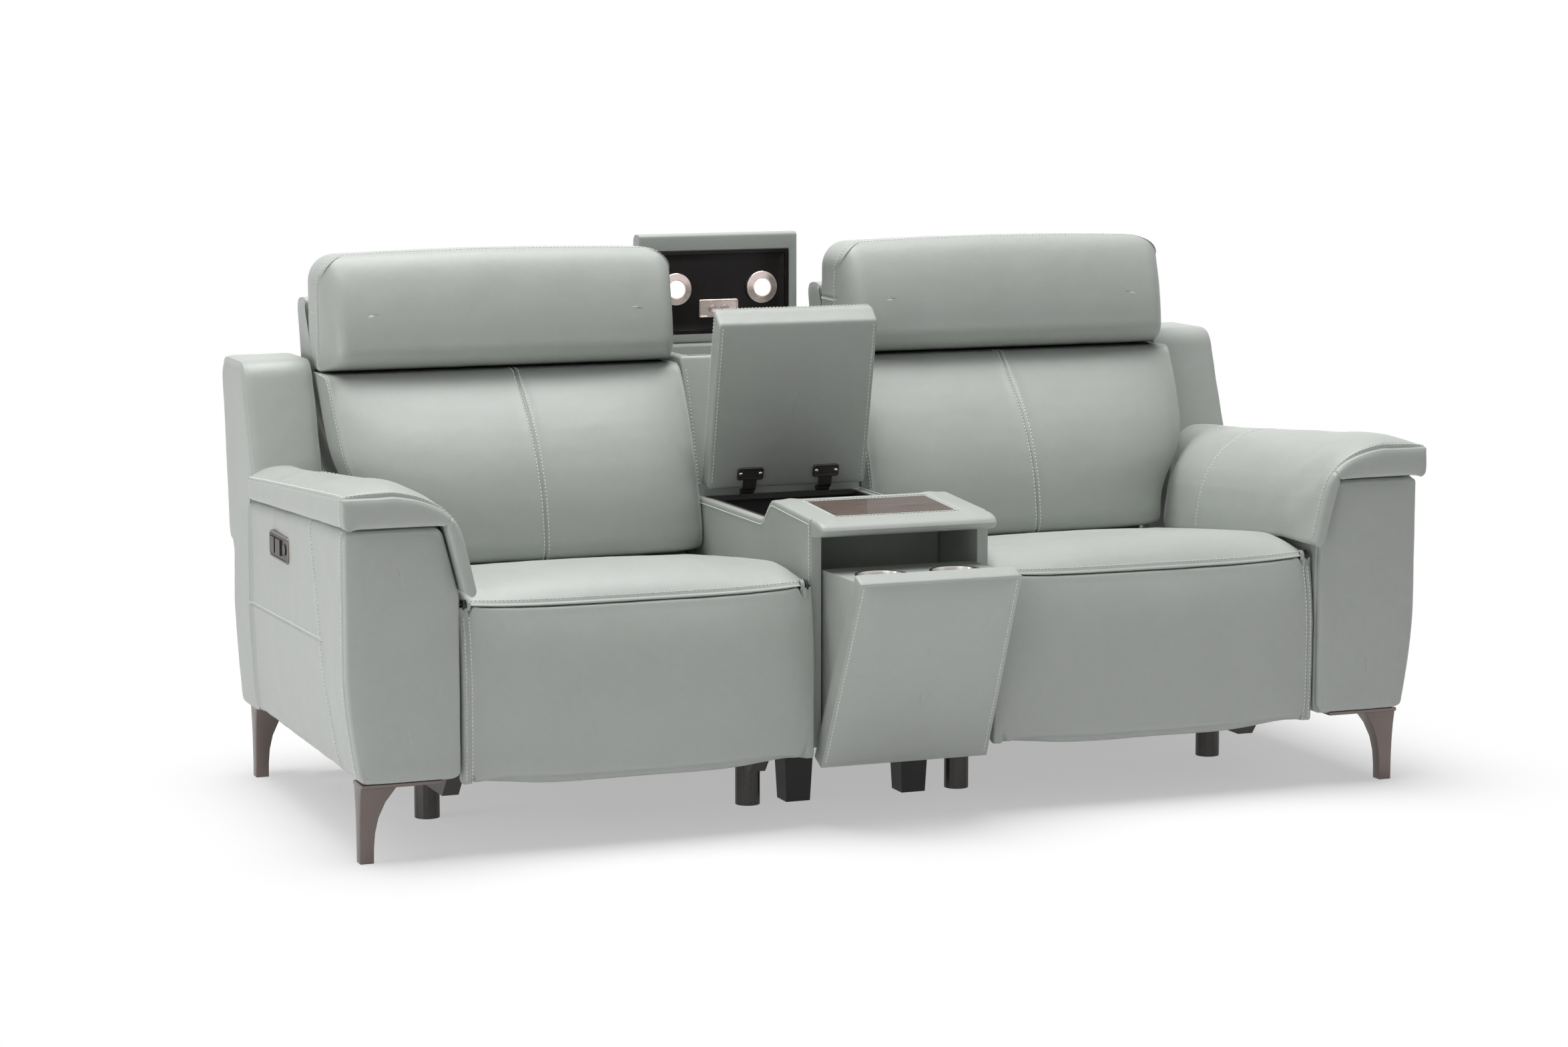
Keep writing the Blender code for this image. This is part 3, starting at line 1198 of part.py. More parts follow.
def build_headrest(name, side, axis):
    """Headrest pad that tilts about the front of the shell's shelf."""
    tilt = pivot(name + "_headrest_axis", vec(*HEAD_AXIS, side * SEAT_X), axis)
    shares = (-1.0, -0.97, -0.85, -0.5, 0.0, 0.5, 0.85, 0.97, 1.0)
    loft(name + "_headrest", [head_ring(side, share) for share in shares], tilt, LEATHER)


def stand_on_origin(frame):
    """Move everything so that the origin is under the middle of the whole piece."""
    bpy.context.view_layer.update()
    graph = bpy.context.evaluated_depsgraph_get()
    depths = []
    for obj in bpy.data.objects:
        if obj.type == "MESH" and not obj.hide_render:
            shape = obj.evaluated_get(graph)
            place = obj.matrix_world
            depths += [(place @ vertex.co).y for vertex in shape.data.vertices]
    frame.location.y = -(min(depths) + max(depths)) / 2
    print("origin lies at y =", -frame.location.y)


def main():
    """Build the loveseat."""
    clear_scene()
    frame = pivot("loveseat", (0.0, 0.0, 0.0))
    for name, side in SIDES:
        build_arm(name, side, frame)
        build_arm_pad(name, side, frame)
        build_wing(name, side, frame)
        build_controls(name, side, frame)
        outer = arm_outer(LEG_FRONT_Y) - ARM_TUCK - LEG_INSET
        plate = outer - ARM_INNER - LEG_MARGIN_FRONT
        build_leg("front_" + name + "_leg", side, LEG_FRONT_Y, outer, plate, frame)
        outer -= ARM_TAPER / 2
        plate = outer - WING_INNER - LEG_MARGIN_REAR
        build_leg("rear_" + name + "_leg", side, LEG_BACK_Y, outer, plate, frame)
        build_base_frame(name, side, frame)
        build_actuator(name, side, frame)
        build_carriage(name, side, frame)
    build_console(frame)
    build_storage_lid(frame)
    build_drawer(frame)
    build_light_lid(frame)
    stand_on_origin(frame)


main()
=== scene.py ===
"""Looks of a reclining loveseat with a console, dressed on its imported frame."""

from __future__ import annotations

import json
import logging
import math
from contextlib import contextmanager
from dataclasses import dataclass, field
from enum import Enum
from typing import Any, Iterable, Iterator, Sequence, Union

import bmesh
import bpy
import numpy as np
from mathutils import Matrix, Vector, noise

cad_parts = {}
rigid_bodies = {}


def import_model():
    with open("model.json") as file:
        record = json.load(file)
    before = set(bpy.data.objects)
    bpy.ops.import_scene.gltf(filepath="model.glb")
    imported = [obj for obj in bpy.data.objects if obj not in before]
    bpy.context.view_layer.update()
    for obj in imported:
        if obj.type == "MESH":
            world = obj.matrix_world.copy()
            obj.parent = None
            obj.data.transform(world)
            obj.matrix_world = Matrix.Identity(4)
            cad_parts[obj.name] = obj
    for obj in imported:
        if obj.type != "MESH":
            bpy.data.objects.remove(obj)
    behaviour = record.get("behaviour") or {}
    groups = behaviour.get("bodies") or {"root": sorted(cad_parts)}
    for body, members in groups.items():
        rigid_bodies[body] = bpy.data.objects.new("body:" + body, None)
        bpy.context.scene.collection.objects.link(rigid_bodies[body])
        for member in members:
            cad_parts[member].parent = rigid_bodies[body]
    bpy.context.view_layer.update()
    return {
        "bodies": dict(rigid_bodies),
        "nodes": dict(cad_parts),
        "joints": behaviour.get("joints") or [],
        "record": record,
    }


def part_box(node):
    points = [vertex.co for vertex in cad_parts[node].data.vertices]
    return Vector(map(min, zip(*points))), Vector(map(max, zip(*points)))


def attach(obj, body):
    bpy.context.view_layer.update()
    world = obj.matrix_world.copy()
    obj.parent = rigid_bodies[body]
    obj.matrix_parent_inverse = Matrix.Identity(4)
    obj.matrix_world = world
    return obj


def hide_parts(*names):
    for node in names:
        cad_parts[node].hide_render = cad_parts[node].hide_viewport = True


LOG = logging.getLogger("loveseat")
MM = 0.001
Array = np.ndarray
Colour = tuple[float, float, float]


class Side(Enum):
    """The two mirrored halves, by the sign of x."""

    LEFT = -1.0
    RIGHT = 1.0

    @property
    def label(self) -> str:
        """Name of the half in the frame's node names."""
        return self.name.lower()


class Run(Enum):
    """Which way a seam runs over a skin's grid."""

    ROW = 0
    COLUMN = 1


class Value:
    """Output of a node, whose arithmetic adds Math nodes to the same tree."""

    def __init__(self, tree: "Tree", socket: bpy.types.NodeSocket) -> None:
        """Keeps the tree and the output socket."""
        self.tree = tree
        self.socket = socket

    def _math(self, operation: str, first: Number, second: Number) -> "Value":
        """Adds one Math node on two values."""
        return self.tree.add("ShaderNodeMath", {"operation": operation}, {0: first, 1: second})

    def __add__(self, other: Number) -> "Value":
        """Sum."""
        return self._math("ADD", self, other)

    __radd__ = __add__

    def __sub__(self, other: Number) -> "Value":
        """Difference."""
        return self._math("SUBTRACT", self, other)

    def __rsub__(self, other: Number) -> "Value":
        """Difference with the value last."""
        return self._math("SUBTRACT", other, self)

    def __mul__(self, other: Number) -> "Value":
        """Product."""
        return self._math("MULTIPLY", self, other)

    __rmul__ = __mul__

    def __pow__(self, other: Number) -> "Value":
        """Power."""
        return self._math("POWER", self, other)

    def ramp(self, low: float, high: float) -> "Value":
        """Smooth step from 0 at low to 1 at high.

        Args:
            low: Where it starts.
            high: Where it ends.

        Returns:
            The step.
        """
        sockets = {"Value": self, "From Min": low, "From Max": high}
        return self.tree.add("ShaderNodeMapRange", {"interpolation_type": "SMOOTHSTEP"}, sockets)


Number = Union[float, Value]


class Tree:
    """Nodes of one material or world."""

    def __init__(self, owner: Any) -> None:
        """Empties the owner's node tree.

        Args:
            owner: A material or a world.
        """
        owner.use_nodes = True
        self.nodes = owner.node_tree.nodes
        self.links = owner.node_tree.links
        self.nodes.clear()

    def add(self, kind: str, settings: dict[str, Any] | None = None,
            sockets: dict[Any, Any] | None = None, output: Any = 0) -> Value:
        """Adds a node.

        Args:
            kind: Blender's name of the node's type.
            settings: Its properties, which are set first.
            sockets: Numbers or links of its inputs, by name or place.
            output: Name or place of the output that is wanted.

        Returns:
            The chosen output.
        """
        node = self.nodes.new(kind)
        for key, value in (settings or {}).items():
            setattr(node, key, value)
        for key, value in (sockets or {}).items():
            if isinstance(value, Value):
                self.links.new(value.socket, node.inputs[key])
            else:
                node.inputs[key].default_value = value
        return Value(self, node.outputs[output] if len(node.outputs) else None)

    def place(self, stretch: Colour = (1.0, 1.0, 1.0)) -> Value:
        """Object coordinates, stretched by a factor along each axis.

        Args:
            stretch: The factors.

        Returns:
            The coordinates.
        """
        where = self.add("ShaderNodeTexCoord", output="Object")
        if stretch == (1.0, 1.0, 1.0):
            return where
        return self.add("ShaderNodeVectorMath", {"operation": "MULTIPLY"}, {0: where, 1: stretch})

    def cloud(self, where: Value, scale: float, detail: float = 2.0, twist: float = 0.0) -> Value:
        """Noise from 0 to 1 at a place."""
        sockets = {"Vector": where, "Scale": scale, "Detail": detail, "Distortion": twist}
        return self.add("ShaderNodeTexNoise", None, sockets)

    def mix(self, share: Value, first: Colour | Value, second: Colour | Value) -> Value:
        """Colour between two others.

        Args:
            share: 0 for the first and 1 for the second.
            first: A colour.
            second: Another colour.

        Returns:
            The colour.
        """
        ends = [c if isinstance(c, Value) else (*c, 1.0) for c in (first, second)]
        return self.add("ShaderNodeMix", {"data_type": "RGBA"}, {0: share, 6: ends[0], 7: ends[1]}, 2)

    def bump(self, height: Value, strength: float, distance: float) -> Value:
        """Normal that follows a height."""
        sockets = {"Height": height, "Strength": strength, "Distance": distance}
        return self.add("ShaderNodeBump", None, sockets)


@dataclass(frozen=True)
class Finish:
    """A surface finish, made into one material."""

    label: str
    slot: str
    colour: Colour
    dark: Colour
    roughness: float = 0.5

    def sockets(self, tree: Tree) -> dict[str, Any]:
        """Inputs of the surface shader."""
        raise NotImplementedError

    def material(self) -> bpy.types.Material:
        """The material, made at its first use.

        Returns:
            The material.
        """
        found = bpy.data.materials.get(self.label)
        if found:
            return found
        made = bpy.data.materials.new(self.label)
        tree = Tree(made)
        shader = tree.add("ShaderNodeBsdfPrincipled", None, self.sockets(tree))
        tree.add("ShaderNodeOutputMaterial", None, {"Surface": shader})
        return made


@dataclass(frozen=True)
class Leather(Finish):
    """Finished leather: fine pebbles, soft creases with painted shade in their hollows, and a little mottling."""

    pebble: float = 640.0
    crease: float = 34.0
    relief: float = 0.34

    def sockets(self, tree: Tree) -> dict[str, Any]:
        """Inputs of the surface shader.

        Args:
            tree: Nodes of the material.

        Returns:
            Values by the name of the input.
        """
        where = tree.place()
        mottle = tree.cloud(where, 7.0, 4.0)
        creases = tree.cloud(where, self.crease, 5.0, 1.4)
        cells = tree.add("ShaderNodeTexVoronoi", {"feature": "F1"}, {"Vector": where, "Scale": self.pebble})
        fine = tree.cloud(where, self.pebble * 2.3, 2.0)
        height = creases * 0.55 + (1.0 - cells) * 0.32 + fine * 0.1
        # Base colour mixes real mottling with painted shade: where the crease bump is low, the colour is painted
        # darker.
        mottle_and_crease_shade = mottle * 0.6 + creases * 0.4
        return {
            "Base Color": tree.mix(mottle_and_crease_shade.ramp(0.3, 0.72), self.dark, self.colour),
            "Roughness": self.roughness + (cells - 0.5) * 0.10 + (mottle - 0.5) * 0.16,
            "Normal": tree.bump(height, self.relief, 1.2 * MM),
        }


@dataclass(frozen=True)
class Thread(Finish):
    """Twisted sewing thread."""

    twist: float = 900.0

    def sockets(self, tree: Tree) -> dict[str, Any]:
        """Inputs of the surface shader.

        Args:
            tree: Nodes of the material.

        Returns:
            Values by the name of the input.
        """
        strands = tree.cloud(tree.place(), self.twist, 2.0)
        return {
            "Base Color": tree.mix(strands, self.dark, self.colour),
            "Roughness": self.roughness + (strands - 0.5) * 0.2,
            "Normal": tree.bump(strands, 0.4, 0.2 * MM),
        }


@dataclass(frozen=True)
class Metal(Finish):
    """Metal with fine brush lines along one axis."""

    along: Colour = (60.0, 60.0, 1.5)
    relief: float = 0.10
    shine: float = 1.0

    def sockets(self, tree: Tree) -> dict[str, Any]:
        """Inputs of the surface shader.

        Args:
            tree: Nodes of the material.

        Returns:
            Values by the name of the input.
        """
        lines = tree.cloud(tree.place(self.along), 22.0, 3.0)
        stains = tree.cloud(tree.place(), 14.0, 3.0)
        return {
            "Base Color": tree.mix(lines * 0.7 + stains * 0.3, self.dark, self.colour),
            "Metallic": self.shine,
            "Roughness": self.roughness + (lines - 0.5) * 0.18 + (stains - 0.5) * 0.08,
            "Normal": tree.bump(lines, self.relief, 0.2 * MM),
        }


@dataclass(frozen=True)
class Plastic(Finish):
    """Moulded plastic with a fine grain."""

    grain: float = 900.0
    relief: float = 0.15
    coat: float = 0.0
    glint: float = 0.5

    def sockets(self, tree: Tree) -> dict[str, Any]:
        """Inputs of the surface shader.

        Args:
            tree: Nodes of the material.

        Returns:
            Values by the name of the input.
        """
        grain = tree.cloud(tree.place(), self.grain, 2.0)
        dust = tree.cloud(tree.place(), 25.0, 4.0)
        return {
            "Base Color": tree.mix(dust.ramp(0.35, 0.75), self.dark, self.colour),
            "Roughness": self.roughness + (dust - 0.5) * 0.16,
            "Coat Weight": self.coat,
            "Specular IOR Level": self.glint,
            "Normal": tree.bump(grain, self.relief, 0.2 * MM),
        }


@dataclass(frozen=True)
class Wood(Finish):
    """Wood whose grain runs along one axis."""

    along: Colour = (1.0, 9.0, 9.0)
    coat: float = 0.0

    def sockets(self, tree: Tree) -> dict[str, Any]:
        """Inputs of the surface shader.

        Args:
            tree: Nodes of the material.

        Returns:
            Values by the name of the input.
        """
        streaks = tree.cloud(tree.place(self.along), 9.0, 6.0, 0.9)
        pores = tree.cloud(tree.place(tuple(a * 5.0 for a in self.along)), 16.0, 3.0)
        grain = streaks * 0.7 + pores * 0.3
        return {
            "Base Color": tree.mix(grain.ramp(0.34, 0.66), self.dark, self.colour),
            "Roughness": self.roughness + (pores - 0.5) * 0.2,
            "Coat Weight": self.coat,
            "Normal": tree.bump(pores, 0.2, 0.3 * MM),
        }


@dataclass(frozen=True)
class Lens(Finish):
    """Milky lamp lens that is lit from behind."""

    glow: float = 1.1

    def sockets(self, tree: Tree) -> dict[str, Any]:
        """Inputs of the surface shader.

        Args:
            tree: Nodes of the material.

        Returns:
            Values by the name of the input.
        """
        ribs = tree.cloud(tree.place(), 260.0, 2.0)
        return {
            "Base Color": tree.mix(ribs, self.dark, self.colour),
            "Roughness": self.roughness + (ribs - 0.5) * 0.1,
            "Emission Color": tree.mix(ribs, self.dark, self.colour),
            "Emission Strength": self.glow,
        }


SAGE = Leather("sage leather", "sage_leather", (0.432, 0.456, 0.430), (0.408, 0.430, 0.405), 0.42)
STITCH = Thread("pale thread", "sage_leather", (0.86, 0.88, 0.84), (0.74, 0.76, 0.72), 0.75)
BRONZE = Metal("brushed bronze", "bronze_metal", (0.205, 0.170, 0.158), (0.135, 0.110, 0.102), 0.32)
STEEL = Metal("spun steel", "stainless_steel", (0.74, 0.72, 0.70), (0.55, 0.53, 0.51), 0.22, (40.0, 40.0, 2.0))
ROSE = Metal("rose metal", "rose_metal", (0.74, 0.63, 0.60), (0.58, 0.48, 0.45), 0.26, (2.0, 60.0, 60.0))
IRON = Metal("dark steel", "dark_steel", (0.10, 0.095, 0.09), (0.055, 0.052, 0.05), 0.42, (8.0, 8.0, 8.0), 0.2, 0.8)
BLACK = Plastic("black plastic", "black_plastic", (0.030, 0.027, 0.026), (0.016, 0.014, 0.014), 0.52)
GLOSS = Plastic("gloss black", "gloss_black", (0.012, 0.009, 0.009), (0.007, 0.005, 0.005), 0.30, 60.0, 0.06, 0.0, 0.22)
WALNUT = Wood("dark wood", "dark_wood", (0.110, 0.066, 0.050), (0.032, 0.018, 0.014), 0.40, (1.2, 11.0, 11.0), 0.25)
PLY = Wood("plywood", "plywood", (0.55, 0.41, 0.27), (0.42, 0.30, 0.18), 0.62)
LAMP = Lens("lamp lens", "rose_metal", (1.0, 0.99, 0.96), (0.94, 0.93, 0.90), 0.30)
FINISHES = (SAGE, BRONZE, STEEL, ROSE, IRON, BLACK, GLOSS, WALNUT, PLY)


class Layout:
    """Places of the frame's nodes, with y counted back from the fronts of the arms."""

    def __init__(self, frame: dict[str, Any]) -> None:
        """Reads the frame.
        """
        self.nodes: dict[str, bpy.types.Object] = frame["nodes"]
        self.joints = {joint["name"]: joint for joint in frame["joints"]}
        self.shift = np.array((0.0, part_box("left_arm")[0].y, 0.0))

    def box(self, node: str) -> tuple[Array, Array]:
        """Lowest and highest corner of a node, mirrored to the right if it lies on the left.

        Args:
            node: Name of the node.

        Returns:
            The two corners.
        """
        low, high = (np.array(corner) - self.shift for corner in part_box(node))
        if high[0] <= 0.0:
            low[0], high[0] = -high[0], -low[0]
        return low, high

    def opened(self, joint: str) -> Matrix:
        """Turn that takes a piece drawn shut to where the frame has it, at the joint's start.

        Args:
            joint: Name of a hinge.

        Returns:
            The turn about the hinge's axis.
        """
        row = self.joints[joint]
        pivot = Matrix.Translation(Vector(row["pos_m"]) - Vector(self.shift))
        turn = Matrix.Rotation(-math.radians(row["range_deg"][1]), 4, Vector(row["axis"]))
        return pivot @ turn @ pivot.inverted()


def smooth(share: Array | float) -> Array | float:
    """Smooth step of a share that is cut to 0..1."""
    cut = np.clip(share, 0.0, 1.0)
    return cut * cut * (3.0 - 2.0 * cut)


def unit(vectors: Array) -> Array:
    """Vectors brought to length one."""
    return vectors / np.maximum(np.linalg.norm(vectors, axis=-1, keepdims=True), 1e-12)


def spread(count: int, bend: float) -> Array:
    """Shares from -1 to 1 that crowd towards both ends, more so as bend nears 1."""
    return np.sin(np.linspace(-1.0, 1.0, count) * math.pi / 2 * bend) / math.sin(math.pi / 2 * bend)


def quads(rows: int, columns: int) -> list[list[int]]:
    """Faces between the rows of a grid whose rows close on themselves.

    Args:
        rows: Number of rows.
        columns: Number of points in each row.

    Returns:
        The corners of the faces.
    """
    found = []
    for r in range(rows - 1):
        for c in range(columns):
            d = (c + 1) % columns
            found.append([r * columns + c, r * columns + d, (r + 1) * columns + d, (r + 1) * columns + c])
    return found


def swept(ring: Array, across: Iterable[float]) -> Array:
    """Copies of a ring of (y, z) points at places across."""
    return np.array([np.insert(ring, 0, x, axis=1) for x in across])


@contextmanager
def reworked(mesh: bpy.types.Mesh) -> Iterator[bmesh.types.BMesh]:
    """Opens a mesh for edits and closes it with its normals outward.

    Args:
        mesh: The mesh.

    Yields:
        What the edits are made on.
    """
    work = bmesh.new()
    work.from_mesh(mesh)
    yield work
    bmesh.ops.recalc_face_normals(work, faces=work.faces)
    work.to_mesh(mesh)
    work.free()


def rounded(points: Sequence[Sequence[float]], radii: Sequence[float], closed: bool = False) -> Array:
    """Line through points with its corners rounded.

    Args:
        points: The corners.
        radii: How far each corner is cut back.
        closed: Whether the line returns to its start.

    Returns:
        The points of the rounded line.
    """
    corners = np.array(points, float)
    count = len(corners)
    line = []
    for k, (corner, radius) in enumerate(zip(corners, radii)):
        if radius <= 0.0 or (not closed and k in (0, count - 1)):
            line.append(corner)
            continue
        sides = []
        for other in (corners[k - 1], corners[(k + 1) % count]):
            away = other - corner
            length = np.linalg.norm(away)
            sides.append(corner + away / length * min(radius, length * 0.5))
        for t in np.linspace(0.0, 1.0, 8):
            line.append((1 - t) ** 2 * sides[0] + 2 * t * (1 - t) * corner + t * t * sides[1])
    return np.array(line)


def spaced(line: Array, count: int) -> Array:
    """Points at even steps along a line.

    Args:
        line: The line's points.
        count: Number of steps.

    Returns:
        count + 1 points.
    """
    steps = np.linalg.norm(np.diff(line, axis=0), axis=1)
    along = np.concatenate([[0.0], np.cumsum(steps)])
    at = np.linspace(0.0, along[-1], count + 1)
    return np.stack([np.interp(at, along, line[:, k]) for k in range(line.shape[1])], axis=1)


def chained(*parts: tuple[Array, int]) -> Array:
    """Closed ring of lines that follow each other, each with its own number of steps."""
    return np.concatenate([spaced(line, count)[:-1] for line, count in parts])


def spline(values: Array, at: Array, looped: bool) -> Array:
    """Smooth values between the entries of an array.

    Args:
        values: Entries along the first axis.
        at: Fractional places along it.
        looped: Whether the last entry is followed by the first.

    Returns:
        One entry for each place.
    """
    count = len(values)
    base = np.floor(at).astype(int)
    if not looped:
        base = np.clip(base, 0, count - 2)
    t = (at - base)[:, None, None]
    picks = []
    for k in (-1, 0, 1, 2):
        index = base + k
        picks.append(values[index % count if looped else np.clip(index, 0, count - 1)])
    a, b, c, d = picks
    return b + 0.5 * t * (c - a + t * (2 * a - 5 * b + 4 * c - d + t * (3 * (b - c) + d - a)))


@dataclass
class Seam:
    """A sewn line along a row or a column of a skin's grid."""

    run: Run
    place: float
    start: float = -9.0
    end: float = 9999.0
    depth: float = 2.0 * MM
    threads: tuple[float, ...] = (5.0 * MM,)

    def reach(self, at: Array) -> Array:
        """How strongly the seam is drawn in at places along it."""
        return np.clip(at - self.start + 1.0, 0.0, 1.0) * np.clip(self.end - at + 1.0, 0.0, 1.0)


class Skin:
    """Closed skin on a grid: rows of rings, each closed on itself, with both ends zipped."""

    LOOPS = np.array((-9.0, -5.0, -2.6, -1.1, 0.0, 1.1, 2.6, 5.0, 9.0)) * MM

    def __init__(self, rings: Array, rows: Array | None = None, columns: Array | None = None,
                 span: int | None = None) -> None:
        """Keeps the grid.

        Args:
            rings: Points by row and column.
            rows: Places of the rows on the first, coarse grid.
            columns: Places of the columns there.
            span: Number of columns of that grid.
        """
        self.rings = rings
        self.span = span or rings.shape[1]
        self.rows = np.arange(len(rings), dtype=float) if rows is None else rows
        self.columns = np.arange(rings.shape[1], dtype=float) if columns is None else columns

    def normals(self) -> Array:
        """Outward direction at each point.

        Returns:
            Directions by row and column.
        """
        down = np.gradient(self.rings, axis=0)
        across = np.roll(self.rings, -1, axis=1) - np.roll(self.rings, 1, axis=1)
        out = unit(np.cross(across, down))
        middle = self.rings.mean(axis=(0, 1))
        return out if (out * (self.rings - middle)).sum() > 0.0 else -out

    def pitch(self, seam: Seam) -> float:
        """Distance between the grid lines beside a seam.

        Args:
            seam: The seam.

        Returns:
            The distance in metres.
        """
        grid = self.rings if seam.run is Run.ROW else self.rings.swapaxes(0, 1)
        base = int(min(max(seam.place, 0), len(grid) - 2))
        first = int(max(seam.start, 0))
        last = int(min(seam.end, grid.shape[1] - 1)) + 1
        return float(np.linalg.norm(grid[base + 1, first:last] - grid[base, first:last], axis=1).mean())

    def _places(self, count: int, finer: int, seams: list[tuple[float, float]], looped: bool) -> Array:
        """Places of the finer grid lines: even steps, with loops close to each seam.

        Args:
            count: Number of coarse lines.
            finer: Steps between two of them.
            seams: Place and pitch of each seam.
            looped: Whether the last line is followed by the first.

        Returns:
            The places, in order.
        """
        last = count if looped else count - 1
        places = np.arange(last * finer + (0 if looped else 1)) / finer
        for place, pitch in seams:
            gap = np.abs(places - place)
            if looped:
                gap = np.minimum(gap, count - gap)
            places = places[gap > 6.0 * MM / pitch]
            places = np.concatenate([places, place + self.LOOPS / pitch])
        places = places % count if looped else np.clip(places, 0.0, last)
        return np.unique(np.round(places, 4))

    def sewn(self, seams: Sequence[Seam], finer: tuple[int, int]) -> "Skin":
        """A finer skin with its seams drawn in.

        Args:
            seams: The sewn lines.
            finer: Steps between coarse rows and columns.

        Returns:
            The new skin.
        """
        pitches = [self.pitch(seam) for seam in seams]
        lines: dict[Run, list[tuple[float, float]]] = {Run.ROW: [], Run.COLUMN: []}
        for seam, pitch in zip(seams, pitches):
            lines[seam.run].append((seam.place, pitch))
        rows = self._places(len(self.rings), finer[0], lines[Run.ROW], False)
        columns = self._places(self.rings.shape[1], finer[1], lines[Run.COLUMN], True)
        grid = spline(self.rings, rows, False)
        grid = spline(grid.swapaxes(0, 1), columns, True).swapaxes(0, 1)
        made = Skin(grid, rows, columns, self.span)
        push = np.zeros(grid.shape[:2])
        for seam, pitch in zip(seams, pitches):
            own, other = (rows, columns) if seam.run is Run.ROW else (columns, rows)
            off = own - seam.place
            if seam.run is Run.COLUMN:
                count = self.rings.shape[1]
                off = (off + count / 2) % count - count / 2
            off = off * pitch
            dip = -np.exp(-(off / (1.5 * MM)) ** 2) + 0.3 * np.exp(-((np.abs(off) - 7 * MM) / (3.5 * MM)) ** 2)
            pull = seam.depth * dip[:, None] * seam.reach(other)[None, :]
            push += pull if seam.run is Run.ROW else pull.T
        return made.pushed(push)

    def pushed(self, amount: Array) -> "Skin":
        """The skin moved along its normals by an amount at each point."""
        return Skin(self.rings + self.normals() * amount[:, :, None], self.rows, self.columns, self.span)

    def creased(self, amount: float, seed: float) -> "Skin":
        """The skin with soft uneven swelling.

        Args:
            amount: Height of the swelling, in metres.
            seed: Moves the pattern.

        Returns:
            The new skin.
        """
        flat = self.rings.reshape(-1, 3)
        drift = Vector((seed, seed * 1.7, 0.0))
        values = [noise.fractal(Vector(p) * 16.0 + drift, 0.9, 2.1, 3) for p in flat]
        return self.pushed(amount * np.array(values).reshape(self.rings.shape[:2]))

    def line(self, seam: Seam, offset: float) -> tuple[Array, Array]:
        """Points and normals along a seam, set off to one side of it.

        Args:
            seam: The seam to follow.
            offset: Distance from it, in metres.

        Returns:
            Points and normals.
        """
        grid, out = self.rings, self.normals()
        own, other = self.rows, self.columns
        if seam.run is Run.COLUMN:
            grid, out, own, other = grid.swapaxes(0, 1), out.swapaxes(0, 1), other, own
        near = int(np.argmin(np.abs(own - seam.place)))
        step = int(np.sign(offset)) or 1
        travel, at = 0.0, near
        keep = (other >= seam.start) & (other <= seam.end)
        while travel < abs(offset) - 0.3 * MM and 0 < at < len(grid) - 1:
            at += step
            travel += float(np.linalg.norm(grid[at][keep] - grid[at - step][keep], axis=1).mean())
        return grid[at][keep], out[at][keep]

    def faces(self) -> list[list[int]]:
        """Corners of every face, with the ends zipped from point k to its partner across the ring."""
        rows, columns = self.rings.shape[:2]
        return quads(rows, columns) + self.zipped(0, True) + self.zipped((rows - 1) * columns, False)

    def zipped(self, first: int, flip: bool) -> list[list[int]]:
        """Faces that close one end.

        Args:
            first: Index of the end ring's first point.
            flip: Whether the end faces the other way.

        Returns:
            The corners of the faces.
        """
        half = self.span / 2
        near = [k for k, c in enumerate(self.columns) if c <= half + 1e-6]
        far = [0] + [k for k in range(len(self.columns) - 1, 0, -1) if self.columns[k] >= half - 1e-6]
        found = []
        i = j = 0
        while i < len(near) - 1 or j < len(far) - 1:
            step_near = self.columns[near[i + 1]] if i < len(near) - 1 else math.inf
            step_far = self.span - self.columns[far[j + 1]] if j < len(far) - 1 else math.inf
            if step_near <= step_far:
                face = [near[i], near[i + 1], far[j]]
                i += 1
            else:
                face = [near[i], far[j + 1], far[j]]
                j += 1
            if len(set(face)) == 3:
                found.append([first + c for c in (face[::-1] if flip else face)])
        return found


